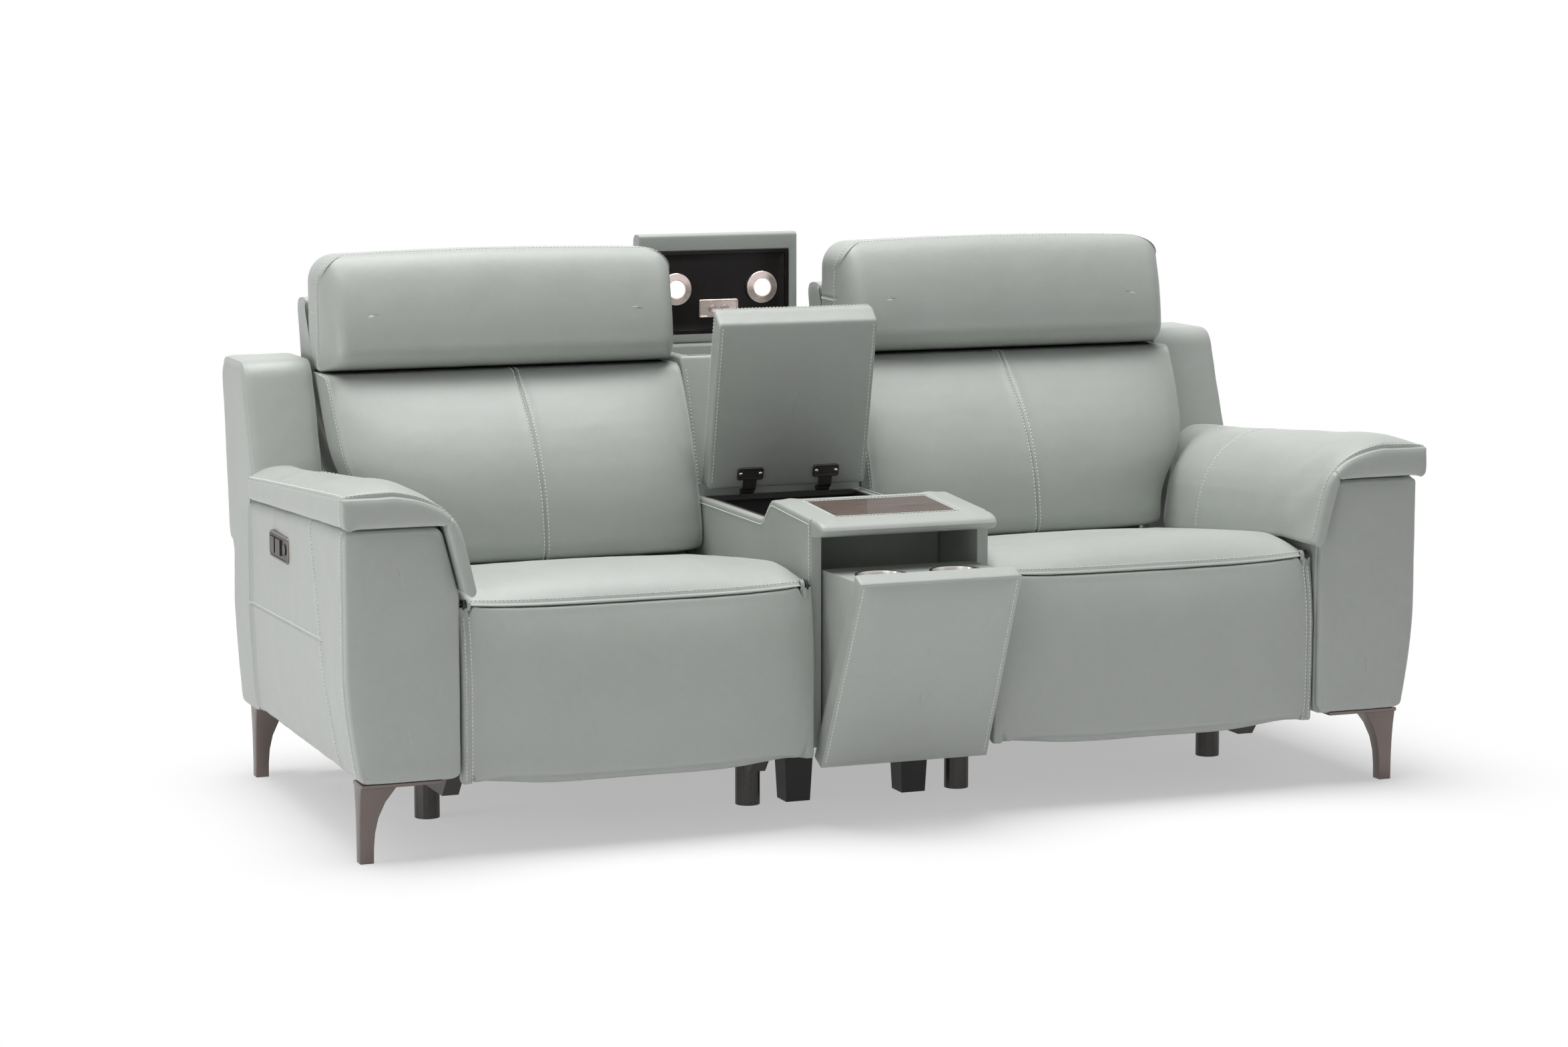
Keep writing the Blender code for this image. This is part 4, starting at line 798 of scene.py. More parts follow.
class Clay:
    """Points and faces gathered into one mesh."""

    def __init__(self) -> None:
        """Starts empty."""
        self.points: list[Array] = []
        self.faces: list[list[int]] = []
        self.count = 0

    def add(self, points: Array, faces: Iterable[Sequence[int]]) -> None:
        """Adds points and the faces on them.

        Args:
            points: Places.
            faces: Corners, counted from the first of these points.
        """
        flat = np.asarray(points, float).reshape(-1, 3)
        self.points.append(flat)
        self.faces.extend([self.count + int(c) for c in face] for face in faces)
        self.count += len(flat)

    def skin(self, skin: Skin) -> None:
        """Adds a skin."""
        self.add(skin.rings, skin.faces())

    def tube(self, line: Array, radius: float, sides: int) -> None:
        """Adds a round tube along a line.

        Args:
            line: Points that it follows.
            radius: Its radius.
            sides: Number of its sides.
        """
        ahead = np.roll(line, -1, axis=0) - np.roll(line, 1, axis=0)
        ahead[0], ahead[-1] = line[1] - line[0], line[-1] - line[-2]
        ahead = unit(ahead)
        across = unit(np.cross(ahead, np.array((0.31, 0.53, 0.79))))
        rise = np.cross(across, ahead)
        angle = np.linspace(0.0, 2 * math.pi, sides, endpoint=False)
        ring = np.cos(angle)[None, :, None] * across[:, None] + np.sin(angle)[None, :, None] * rise[:, None]
        first, last = list(range(sides))[::-1], [(len(line) - 1) * sides + c for c in range(sides)]
        self.add(line[:, None] + radius * ring, quads(len(line), sides) + [first, last])

    def turned(self, profile: Sequence[tuple[float, float]], place: Matrix, sides: int = 48) -> None:
        """Adds a round body about its own z axis.

        Args:
            profile: Closed outline as radius and height; points on the axis have radius 0.
            place: Where the body's axis stands.
            sides: Number of its sides.
        """
        angle = np.linspace(0.0, 2 * math.pi, sides, endpoint=False)
        outline = np.array(profile)
        points = np.stack([
            outline[:, None, 0] * np.cos(angle), outline[:, None, 0] * np.sin(angle),
            np.repeat(outline[:, 1:2], sides, axis=1),
        ], axis=2)
        turn = np.array(place)
        self.add(points @ turn[:3, :3].T + turn[:3, 3], quads(len(outline), sides))

    def mesh(self, name: str, crisp: float = 0.0) -> bpy.types.Mesh:
        """The mesh of all that was added.

        Args:
            name: Name of the mesh.
            crisp: Angle in degrees above which edges stay sharp, or 0 for none.

        Returns:
            The mesh, closed and with its normals outward.
        """
        made = bpy.data.meshes.new(name)
        made.from_pydata(np.concatenate(self.points).tolist(), [], self.faces)
        with reworked(made) as work:
            bmesh.ops.remove_doubles(work, verts=work.verts, dist=1e-6)
            bmesh.ops.dissolve_degenerate(work, edges=work.edges, dist=1e-7)
        made.shade_smooth()
        if crisp:
            made.set_sharp_from_angle(angle=math.radians(crisp))
        return made


def capped(rings: Array, first: Sequence[tuple[float, float]], last: Sequence[tuple[float, float]]) -> Array:
    """Rings with rounded ends added, each drawn towards the middle line of its section.

    Args:
        rings: Rows of the body.
        first: For the first end, from the body outward: share drawn in and distance pushed out.
        last: The same for the last end.

    Returns:
        All the rows.
    """
    count = rings.shape[1]
    partner = (-np.arange(count)) % count
    made = [rings]
    for at, inner, steps in ((0, 1, first), (-1, -2, last)):
        end = rings[at]
        away = (end - rings[inner]).mean(axis=0)
        away /= max(np.linalg.norm(away), 1e-9)
        rows = [end + (end[partner] - end) * share + away * push for share, push in steps]
        if rows and at == 0:
            made.insert(0, np.array(rows[::-1]))
        elif rows:
            made.append(np.array(rows))
    return np.concatenate(made)


@dataclass
class Pad:
    """A padded piece before it is filled and sewn."""

    name: str
    body: str
    stands_for: tuple[str, ...]
    rings: Array
    held: Array
    seams: list[Seam] = field(default_factory=list)
    fill: float = 0.7
    pressure: float = 4.0
    growth: float = 0.004
    cap: float = 10.0 * MM
    finer: tuple[int, int] = (2, 2)
    crease: float = 0.5 * MM
    turn: Matrix | None = None


class Filling:
    """Cloth runs that swell the pads' skins before their seams are drawn in."""

    FRAMES = 20
    LEATHER = {"quality": 5, "mass": 0.3, "tension_stiffness": 12.0, "compression_stiffness": 12.0,
               "shear_stiffness": 4.0, "bending_stiffness": 0.25, "use_pressure": True}

    def __init__(self) -> None:
        """Starts with no pads."""
        self.jobs: list[tuple[Pad, bpy.types.Object]] = []

    def add(self, pad: Pad) -> None:
        """Prepares one pad's cloth.

        Args:
            pad: The padded piece.
        """
        mesh = bpy.data.meshes.new(pad.name + "_cloth")
        mesh.from_pydata(pad.rings.reshape(-1, 3).tolist(), [], Skin(pad.rings).faces())
        with reworked(mesh):
            LOG.info("cloth of %s has %d points", pad.name, len(mesh.vertices))
        cloth = bpy.data.objects.new(pad.name + "_cloth", mesh)
        bpy.context.scene.collection.objects.link(cloth)
        group = cloth.vertex_groups.new(name="held")
        group.add([int(k) for k in np.flatnonzero(pad.held.reshape(-1))], 1.0, "REPLACE")
        modifier = cloth.modifiers.new("filling", "CLOTH")
        settings = modifier.settings
        values = {**self.LEATHER, "uniform_pressure_force": pad.pressure, "shrink_min": -pad.growth,
                  "vertex_group_mass": "held"}
        for key, value in values.items():
            setattr(settings, key, value)
        settings.effector_weights.gravity = 0.0
        modifier.collision_settings.use_collision = False
        modifier.point_cache.frame_start = 1
        modifier.point_cache.frame_end = self.FRAMES
        self.jobs.append((pad, cloth))

    @staticmethod
    def calmed(moved: Array, held: Array, passes: int = 5) -> Array:
        """Movement averaged over neighbouring points, which takes out small ripples.

        Args:
            moved: Movement of each point of a grid.
            held: Which points are held.
            passes: How often it is averaged.

        Returns:
            The calmer movement.
        """
        for _ in range(passes):
            around = np.roll(moved, 1, axis=1) + np.roll(moved, -1, axis=1)
            beside = np.concatenate([moved[:1], moved[:-1]]) + np.concatenate([moved[1:], moved[-1:]])
            moved = np.where(held[:, :, None], 0.0, moved * 0.4 + (around + beside) * 0.15)
        return moved

    def run(self) -> None:
        """Steps all the cloths together and gives each pad its filled shape."""
        scene = bpy.context.scene
        for step in range(1, self.FRAMES + 1):
            scene.frame_set(step)
        seen = bpy.context.evaluated_depsgraph_get()
        for pad, cloth in self.jobs:
            mesh = cloth.evaluated_get(seen).data
            points = np.empty(len(mesh.vertices) * 3)
            mesh.vertices.foreach_get("co", points)
            moved = self.calmed(points.reshape(pad.rings.shape) - pad.rings, pad.held)
            length = np.linalg.norm(moved, axis=2, keepdims=True)
            LOG.info("filled %s, moved up to %.1f mm", pad.name, length.max() / MM)
            pad.rings = pad.rings + moved * (pad.cap * np.tanh(length / pad.cap) / np.maximum(length, 1e-9))
        scene.frame_set(1)
        for pad, cloth in self.jobs:
            mesh = cloth.data
            bpy.data.objects.remove(cloth)
            bpy.data.meshes.remove(mesh)
        self.jobs.clear()


class Sewing:
    """Stitches, gathered by the body that they ride on."""

    PITCH = 7.0 * MM
    LENGTH = 5.4 * MM
    RADIUS = 0.95 * MM

    def __init__(self) -> None:
        """Starts with no stitches."""
        self.bodies: dict[str, Clay] = {}

    def row(self, body: str, points: Array, normals: Array, turn: Matrix | None = None) -> None:
        """Adds a row of stitches along a line.

        Args:
            body: Body that they ride on.
            points: The line.
            normals: Outward directions along it.
            turn: Turn from the drawn place to the frame's.
        """
        if len(points) < 3:
            return
        joined = np.concatenate([points, normals], axis=1)
        steps = np.linalg.norm(np.diff(points, axis=0), axis=1)
        count = int(steps.sum() / self.PITCH)
        if count < 2:
            return
        along = np.concatenate([[0.0], np.cumsum(steps)])
        middles = (np.arange(count) + 0.5) * self.PITCH
        marks = []
        for shift in (-0.5, -0.3, 0.3, 0.5):
            at = middles + shift * self.LENGTH
            marks.append(np.stack([np.interp(at, along, joined[:, k]) for k in range(6)], axis=1))
        ahead = unit(marks[2][:, :3] - marks[1][:, :3])
        rings = []
        for mark, rise, thick in zip(marks, (-0.5, 0.35, 0.35, -0.5), (0.5, 1.0, 1.0, 0.5)):
            out = mark[:, 3:]
            across = unit(np.cross(out, ahead))
            middle = mark[:, :3] + out * rise * self.RADIUS
            for a, b in ((1, 0), (0.3, 0.9), (-0.3, 0.9), (-1, 0), (0, -0.8)):
                rings.append(middle + self.RADIUS * thick * (a * across + b * out))
        cloud = np.stack(rings, axis=1)
        if turn is not None:
            matrix = np.array(turn)
            cloud = cloud @ matrix[:3, :3].T + matrix[:3, 3]
        form = quads(4, 5) + [[4, 3, 2, 1, 0], [15, 16, 17, 18, 19]]
        faces = [[20 * k + c for c in face] for k in range(count) for face in form]
        self.bodies.setdefault(body, Clay()).add(cloud, faces)


class Workshop:
    """Makes pieces and hands them to the frame."""

    def __init__(self, layout: Layout) -> None:
        """Keeps the layout.

        Args:
            layout: Places of the frame's nodes.
        """
        self.layout = layout
        self.sewing = Sewing()
        self.pads: list[Pad] = []

    def add(self, name: str, mesh: bpy.types.Mesh, finish: Finish, body: str,
            stands_for: Sequence[str] = (), fill: float | None = None) -> bpy.types.Object:
        """Puts a piece in place.

        Args:
            name: Name of the piece.
            mesh: Its mesh in the layout's frame.
            finish: What it is finished with.
            body: Body that it rides on.
            stands_for: Nodes that it replaces.
            fill: How full it is, if it is padded; not used.

        Returns:
            The piece.
        """
        mesh.transform(Matrix.Translation(Vector(self.layout.shift)))
        mesh.materials.clear()
        mesh.materials.append(finish.material())
        piece = bpy.data.objects.new(name, mesh)
        bpy.context.scene.collection.objects.link(piece)
        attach(piece, body)
        if stands_for:
            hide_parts(*stands_for)
        LOG.info("piece %s rides on %s", name, body)
        return piece

    def solid(self, name: str, rings: Array, finish: Finish, body: str, stands_for: Sequence[str] = (),
              fill: float | None = None, crisp: float = 40.0) -> bpy.types.Object:
        """Puts the closed skin of some rings in place.

        Args:
            name: Name of the piece.
            rings: Rows of the skin.
            finish: What it is finished with.
            body: Body that it rides on.
            stands_for: Nodes that it replaces.
            fill: How full it is, if it is padded.
            crisp: Angle in degrees above which edges stay sharp.

        Returns:
            The piece.
        """
        clay = Clay()
        clay.skin(Skin(rings))
        return self.add(name, clay.mesh(name, crisp), finish, body, stands_for, fill)

    def softened(self, node: str, width: float, steps: int = 3) -> bpy.types.Mesh:
        """A copy of a node's mesh with its edges rounded, in the layout's frame.

        Args:
            node: Name of the node.
            width: Width of the rounding.
            steps: Faces across it.

        Returns:
            The new mesh.
        """
        made = self.layout.nodes[node].data.copy()
        made.transform(Matrix.Translation(-Vector(self.layout.shift)))
        with reworked(made) as work:
            bmesh.ops.remove_doubles(work, verts=work.verts, dist=1e-5)
            bmesh.ops.dissolve_limit(work, angle_limit=math.radians(1.0), verts=work.verts, edges=work.edges)
            edges = [e for e in work.edges if e.is_manifold and e.calc_face_angle(0.0) > math.radians(28.0)]
            bmesh.ops.bevel(work, geom=edges, offset=width, segments=steps, profile=0.6, affect="EDGES",
                            clamp_overlap=True)
        made.shade_smooth()
        made.set_sharp_from_angle(angle=math.radians(50.0))
        return made

    def sew(self, pad: Pad) -> bpy.types.Object:
        """Turns a filled pad into its piece and its stitches.

        Args:
            pad: The padded piece.

        Returns:
            The piece.
        """
        seed = sum(map(ord, pad.name)) * 0.37
        skin = Skin(pad.rings).sewn(pad.seams, pad.finer)
        if pad.crease:
            skin = skin.creased(pad.crease, seed)
        clay = Clay()
        clay.skin(skin)
        mesh = clay.mesh(pad.name)
        if pad.turn is not None:
            mesh.transform(pad.turn)
        for seam in pad.seams:
            for offset in seam.threads:
                self.sewing.row(pad.body, *skin.line(seam, offset), pad.turn)
        return self.add(pad.name, mesh, SAGE, pad.body, pad.stands_for, pad.fill)

    def finish(self) -> None:
        """Fills and sews all the pads, and adds the stitches."""
        filling = Filling()
        for pad in self.pads:
            if pad.pressure:
                filling.add(pad)
        filling.run()
        for pad in self.pads:
            self.sew(pad)
        for body, clay in self.sewing.bodies.items():
            self.add("stitches_" + body, clay.mesh("stitches_" + body), STITCH, body)


def rounded_ring(half: Sequence[float], radius: float | tuple[float, float], steps: tuple[int, int, int]) -> Array:
    """Rounded rectangle from the middle of its right side, the same number of points on each part.

    Args:
        half: Half its width and half its height.
        radius: Radius of its corners, or of the upper and of the lower ones.
        steps: Steps on half a side, on a corner and on the top or bottom.

    Returns:
        Points as (across, up).
    """
    wide, tall = half
    radii = radius if isinstance(radius, tuple) else (radius, radius)
    corners = ((wide, tall), (-wide, tall), (-wide, -tall), (wide, -tall))
    arcs = []
    for k, (cx, cy) in enumerate(corners):
        r = min(radii[k // 2], wide * 0.98, tall * 0.98)
        middle = np.array((cx - math.copysign(r, cx), cy - math.copysign(r, cy)))
        angle = np.radians(np.linspace(90.0 * k, 90.0 * (k + 1), 12))
        arcs.append(middle + r * np.stack([np.cos(angle), np.sin(angle)], axis=1))
    right, left = np.array((wide, 0.0)), np.array((-wide, 0.0))
    side, corner, edge = steps
    return chained(
        (np.array([right, arcs[0][0]]), side), (arcs[0], corner), (np.array([arcs[0][-1], arcs[1][0]]), edge),
        (arcs[1], corner), (np.array([arcs[1][-1], left]), side), (np.array([left, arcs[2][0]]), side),
        (arcs[2], corner), (np.array([arcs[2][-1], arcs[3][0]]), edge), (arcs[3], corner),
        (np.array([arcs[3][-1], right]), side),
    )


@dataclass
class Half:
    """An assembly that stands on both sides, drawn for the right one."""

    shop: Workshop
    side: Side

    def node(self, part: str) -> str:
        """Name of this side's node."""
        return self.side.label + "_" + part

    def box(self, part: str) -> tuple[Array, Array]:
        """Lowest and highest corner of this side's node."""
        return self.shop.layout.box(self.node(part))

    def mirrored(self, rings: Array) -> Array:
        """Rings drawn for the right side, moved to this side."""
        return rings * np.array((self.side.value, 1.0, 1.0))


@dataclass
class Seat(Half):
    """One reclining seat: cushion, footrest pad, back and headrest."""

    lip_z: float = 0.4205
    lip_rise: float = 0.009
    lip_roll: float = 0.110
    lip_turn: float = 66.0
    lip_ahead: float = 12.5 * MM
    lip_depth: float = 0.088
    seat_line: float = 0.4665
    seat_slope: float = 0.102
    seat_crown: float = 0.018
    seat_side_round: float = 0.042
    foot_half: float = 0.3160
    foot_face: float = 0.0070
    foot_crown: float = 0.010
    foot_lean: float = 0.015
    foot_lean_reach: float = 0.14
    foot_hem: float = 0.012
    back_middle: float = 0.493
    back_fronts: tuple[float, float] = (0.520, 0.708)
    back_edges: tuple[float, float] = (0.566, 0.694)
    back_bends: tuple[float, float] = (2.4, 1.7)
    back_rear: float = 0.640
    back_sides: tuple[tuple[float, ...], tuple[float, ...]] = (
        (0.470, 0.500, 0.530, 0.560, 0.605, 0.650, 0.700, 0.745),
        (0.777, 0.788, 0.806, 0.826, 0.841, 0.846, 0.849, 0.852))
    head_corner: float = 0.046
    head_chin: float = 0.008
    head_ends: tuple[float, float] = (0.1725, 0.851)
    head_seam: float = 0.760
    head_face: float = 0.670
    head_lean: float = 0.030
    head_rolls: tuple[float, float, float] = (0.145, 0.046, 0.034)
    shell_foot: float = 0.800
    shell_shelf: tuple[float, float] = (0.862, 0.762)
    shell_front: tuple[tuple[float, float], ...] = ((0.791, 0.7525), (0.6475, 0.4255), (0.664, 0.338))
    shelf_line: tuple[tuple[float, float], ...] = ((0.740, 0.7525), (0.740, 0.756), (0.83, 0.756), (0.83, 0.7525))
    pivot_arm: float = 0.255
    pivot_bar: float = 0.287

    def build(self) -> None:
        """Prepares the pads and builds the shell."""
        self.shop.pads += [self.cushion(), self.footrest(), self.back(), self.headrest()]
        self.shell()

    def lip(self, share: float) -> float:
        """Height of the seat's front seam at a place across it."""
        return self.lip_z + self.lip_rise * share ** 4

    def cushion(self) -> Pad:
        """Seat cushion with its rolled front.

        Returns:
            The pad before it is filled.
        """
        low, high = self.box("seat_cushion")
        middle, half = (low[0] + high[0]) / 2, (high[0] - low[0]) / 2
        lip, rear, foot = low[1] - self.lip_ahead, high[1], low[2]
        nose = lip + self.lip_depth
        rows = []
        for share in spread(37, 0.92):
            over = max(0.0, abs(share) * half - (half - self.seat_side_round)) / self.seat_side_round
            drop = self.seat_side_round * (1.0 - math.sqrt(max(0.0, 1.0 - over * over))) * 0.8
            depth = np.linspace(rear - 0.012, lip + self.lip_roll, 15)
            along = (depth - lip) / (rear - lip)
            crown = self.seat_crown * (1.0 - share * share) * np.sin(np.pi * np.clip(along, 0, 1) ** 0.6) ** 0.8
            top = self.seat_line - self.seat_slope * (depth - lip) + crown - drop
            seam = self.lip(share)
            angle = np.radians(np.linspace(0.0, self.lip_turn, 13)[1:])
            roll = self.lip_roll * (1.0 - np.sin(angle) / math.sin(angle[-1]))
            fall = (top[-1] - seam) * (np.cos(angle) - math.cos(angle[-1])) / (1.0 - math.cos(angle[-1]))
            upper = [(rear, foot), (rear, top[0] - 0.006)] + list(zip(depth, top))
            upper += list(zip(lip + roll, seam + fall))
            radii = [0.0, 0.012] + [0.0] * (len(upper) - 2)
            under = np.array([(lip, seam), (lip + 0.02, seam - 1 * MM), (nose, seam), (nose + 0.002, foot),
                              (rear, foot)])
            ring = chained((rounded(upper, radii), 44), (under, 44))
            rows.append(np.insert(ring, 0, middle + share * half, axis=1))
        ends = [(0.02, 2 * MM), (0.10, 4 * MM), (0.49, 4 * MM)]
        rings = capped(np.array(rows), ends, ends)
        held = np.zeros(rings.shape[:2], bool)
        held[:, 42:] = held[:, :8] = True
        held[:2] = held[-2:] = True
        seams = [Seam(Run.COLUMN, 43.5, 4, len(rings) - 5, 1.0 * MM, (-6 * MM,))]
        return Pad(self.node("seat_pad"), self.node("seat"), (self.node("seat_cushion"),),
                   self.mirrored(rings), held, seams, 0.75)

    def footrest(self) -> Pad:
        """Tall front panel that swings up as the footrest.

        Returns:
            The pad before it is filled.
        """
        low, high = self.box("footrest_pad")
        middle, half = (low[0] + high[0]) / 2, self.foot_half
        face, foot = self.foot_face, low[2] + 1 * MM
        ears = (high[0] - low[0]) / 2 + 6 * MM
        rows = []
        for share in spread(35, 0.9):
            top = self.lip(share) - 2.5 * MM
            deep = abs(share) * half < ears
            back = high[1] - 3 * MM if deep else face + self.foot_lean + 4 * MM
            rise = np.linspace(top - 0.010, foot + 0.06, 16)
            along = (rise - foot) / (top - foot)
            crown = self.foot_crown * np.sin(np.pi * along) * (1.0 - 0.6 * share * share)
            drawn = 4 * MM * abs(share) ** 10
            lean = (rise - (top - self.foot_lean_reach)) / self.foot_lean_reach
            lean = self.foot_lean * np.clip(lean, 0.0, 1.0) ** 2
            front = [(back, top - 0.006), (back - 1 * MM, top), (face + self.foot_lean, top)]
            front += list(zip(face - crown + drawn + lean, rise))
            under = [(face + drawn, foot), (face + drawn + 3 * MM, foot), (back - 4 * MM, foot)]
            if deep:
                under[1:] = [(face + drawn + 0.018, foot + 1 * MM),
                             (face + drawn + 0.020, foot - self.foot_hem * (1.0 - share ** 4))]
            front += under + [(back - 1 * MM, under[-1][1]), (back, foot + 0.01)]
            radii = [0.0, 0.001, 0.005] + [0.0] * len(rise)
            radii += [0.014 if deep else 0.002, 0.002, 0.003, 0.001, 0.0]
            behind = np.array([(back, foot + 0.01), (back, top - 0.006)])
            ring = chained((rounded(front, radii), 40), (behind, 40))
            rows.append(np.insert(ring, 0, middle + share * half, axis=1))
        ends = [(0.10, 2 * MM), (0.30, 3.2 * MM), (0.49, 3.5 * MM)]
        rings = capped(np.array(rows), ends, ends)
        held = np.zeros(rings.shape[:2], bool)
        held[:, 39:] = held[:, :6] = True
        held[:4] = held[-4:] = True
        seams = [Seam(Run.ROW, len(rings) - 5.5, 3, 37, 1.5 * MM, (-5 * MM, 5 * MM))]
        return Pad(self.node("footrest_panel"), self.node("footrest"), (self.node("footrest_pad"),),
                   self.mirrored(rings), held, seams, 0.7)

    def edge(self, share: float, z: Array) -> Array:
        """Place across the back, which is narrower beside the arm's pad.

        Args:
            share: From -1 at the inner edge to 1 at the outer one.
            z: Heights.

        Returns:
            The places.
        """
        inner = self.box("back_cushion")[0][0]
        outer = np.mean([np.interp(z + off, *self.back_sides) for off in (-0.014, 0.0, 0.014)], axis=0)
        return self.back_middle + (outer - self.back_middle if share > 0.0 else self.back_middle - inner) * share

    def back(self) -> Pad:
        """Back cushion, upright below and rolling back above, sewn down along its middle.

        Returns:
            The pad before it is filled.
        """
        low, high = self.box("back_cushion")
        bottom, top = low[2] - 9 * MM, high[2] + 2 * MM
        rows = []
        for share in spread(41, 0.9):
            rise = np.linspace(top - 0.012, bottom + 0.03, 18)
            along = (rise - bottom) / (top - bottom)
            middle, side = (near + (far - near) * along ** bend
                            for (near, far), bend in zip((self.back_fronts, self.back_edges), self.back_bends))
            line = middle + (side - middle) * (0.75 * abs(share) ** 4 + 0.25 * abs(share) ** 14)
            rear_top, rear_low = high[1] - 2 * MM, self.back_rear
            front = [(rear_top, top), (line[0] + 0.010, top)] + list(zip(line, rise))
            front += [(line[-1] + 0.006, bottom), (rear_low, bottom)]
            radii = [0.0, 0.014] + [0.0] * len(rise) + [0.028, 0.0]
            behind = np.array([(rear_low, bottom), (rear_top, top)])
            ring = chained((rounded(front, radii), 42), (behind, 42))
            rows.append(np.insert(ring, 0, self.edge(share, ring[:, 1]), axis=1))
        ends = [(0.02, 1.6 * MM), (0.06, 2.6 * MM), (0.16, 3 * MM), (0.32, 3 * MM), (0.49, 3 * MM)]
        rings = capped(np.array(rows), ends, ends)
        held = np.zeros(rings.shape[:2], bool)
        held[:, 41:] = held[:, :5] = True
        held[:6] = held[-6:] = True
        held[25] = True
        seams = [
            Seam(Run.ROW, 25.0, 4, 39, 3.0 * MM, (-5 * MM, 5 * MM)),
            Seam(Run.ROW, 5.0, 3, 39, -1.3 * MM, (-5 * MM,)),
            Seam(Run.ROW, len(rings) - 6.0, 3, 39, -1.3 * MM, (5 * MM,)),
        ]
        return Pad(self.node("back_pad"), self.node("back"), (self.node("back_cushion"),),
                   self.mirrored(rings), held, seams, 0.75)

    def headrest(self) -> Pad:
        """Plump headrest: a front panel that rolls forward, with a band behind it.

        Returns:
            The pad before it is filled.
        """
        low, high = self.box("headrest")
        middle, wide = sum(self.head_ends) / 2, (self.head_ends[1] - self.head_ends[0]) / 2
        bottom, top = low[2] - 3.5 * MM, high[2] - 12 * MM
        tall = (top - bottom) / 2
        back, seam = high[1] - 4 * MM, self.head_seam
        behind = ((103.0, 0.0), (90.0, 0.0), (70.0, 0.0), (50.0, 0.0), (36.0, 0.0), (20.0, 0.6), (7.0, 5.0),
                  (1.0, 15.0), (0.0, 32.0), (-1.0, 52.0), (-1.0, 72.0))
        ahead = (0.0, 1.0, 2.6, 5.5, 10.0, 17.0, 26.0, 36.0, 46.0, 56.0, 66.0, 76.0, 86.0, 95.0)
        sewn = len(behind)
        rows = []
        for row, (inset, step) in enumerate(list(behind) + [(inset, 0.0) for inset in ahead]):
            inset = inset * MM
            corner = (self.head_corner - 0.3 * max(inset, 0.0), self.head_chin + 0.3 * max(inset, 0.0))
            ring = rounded_ring((wide - inset, tall - inset), corner, (9, 9, 56))
            height = (ring[:, 1] / tall + 1.0) / 2
            arch = 7 * MM * (1.0 - (ring[:, 0] / wide) ** 2) * smooth(height)
            x, z = middle + ring[:, 0], (bottom + top) / 2 + ring[:, 1] + arch
            y = np.full(len(x), back - step * MM)
            if row >= sewn:
                reach = ((tall - ring[:, 1]) / self.head_rolls[0], (tall + ring[:, 1]) / self.head_rolls[1],
                         (wide - np.abs(ring[:, 0])) / self.head_rolls[2])
                bulge = np.prod([np.sqrt(1.0 - (1.0 - np.clip(r, 0.0, 1.0)) ** 2) for r in reach], axis=0)
                y = seam - (seam - self.head_face - self.head_lean * height) * bulge
            rows.append(np.stack([x, y, z], axis=1))
        rings = np.array(rows)
        held = np.zeros(rings.shape[:2], bool)
        held[:8] = held[sewn - 1:sewn + 4] = True
        seams = [Seam(Run.ROW, float(sewn), depth=1.8 * MM, threads=(-5 * MM,))]
        for place in (0.0, float(rings.shape[1] // 2)):
            seams.append(Seam(Run.COLUMN, place, 6.0, sewn - 0.4, 1.2 * MM, (4 * MM,)))
        return Pad(self.node("headrest_pad"), self.node("headrest"), (self.node("headrest"),),
                   self.mirrored(rings), held, seams, 0.85, 0.0, finer=(2, 1))

    def shell(self) -> None:
        """Covered shell behind the back cushion, with its shelf and its pivot bar."""
        low, high = self.box("back_shell")
        axis = self.shop.layout.joints[self.node("recline")]["pos_m"]
        y, z = axis[1] - self.shop.layout.shift[1], axis[2]
        foot, shelf = (self.shell_foot, low[2]), self.shell_shelf
        rear = rounded([foot, (high[1], high[2]), (shelf[0], high[2]), shelf], [0.0, 0.030, 0.012, 0.0])
        front = rounded([shelf, *self.shell_front, foot], [0.0, 0.006, 0.01, 0.01, 0.0])
        ring = chained((rear, 44), (front, 44))
        rows = [np.insert(ring, 0, self.edge(share, ring[:, 1]), axis=1) for share in np.linspace(-0.985, 0.985, 24)]
        ends = [(0.012, 2.5 * MM), (0.04, 4 * MM), (0.12, 5 * MM), (0.49, 5 * MM)]
        rings = self.mirrored(capped(np.array(rows), ends, ends))
        seams = [Seam(Run.ROW, place, 1, 30, 1.6 * MM, (thread,))
                 for place, thread in ((6.0, 5 * MM), (len(rings) - 7.0, -5 * MM))]
        self.shop.pads.append(Pad(self.node("back_cover"), self.node("back"), (self.node("back_shell"),), rings,
                                  np.ones(rings.shape[:2], bool), seams, 0.4, 0.0, crease=0.4 * MM))
        hold = Clay()
        middle = (low[0] + high[0]) / 2 * self.side.value
        for end in (-self.pivot_arm, self.pivot_arm):
            bends = ((0.0, 0.0), (0.04, 0.01), (0.09, 0.012))
            line = np.array([(middle + end, y + back, z + up) for back, up in bends])
            hold.tube(spaced(line, 8), 0.013, 10)
        bar = np.array([(middle - self.pivot_bar, y, z), (middle + self.pivot_bar, y, z)])
        hold.tube(spaced(bar, 4), 0.0075, 14)
        self.shop.add(self.node("back_pivot"), hold.mesh("pivot", 40.0), IRON, self.node("back"))
        outline = rounded(self.shelf_line, [1 * MM] * 4, True)
        profile = chained((outline, 30))
        rows = [np.insert(profile, 0, self.edge(s, profile[:, 1]), axis=1) for s in np.linspace(-0.95, 0.95, 4)]
        self.shop.solid(self.node("headrest_shelf"), self.mirrored(np.array(rows)), BLACK, self.node("back"))


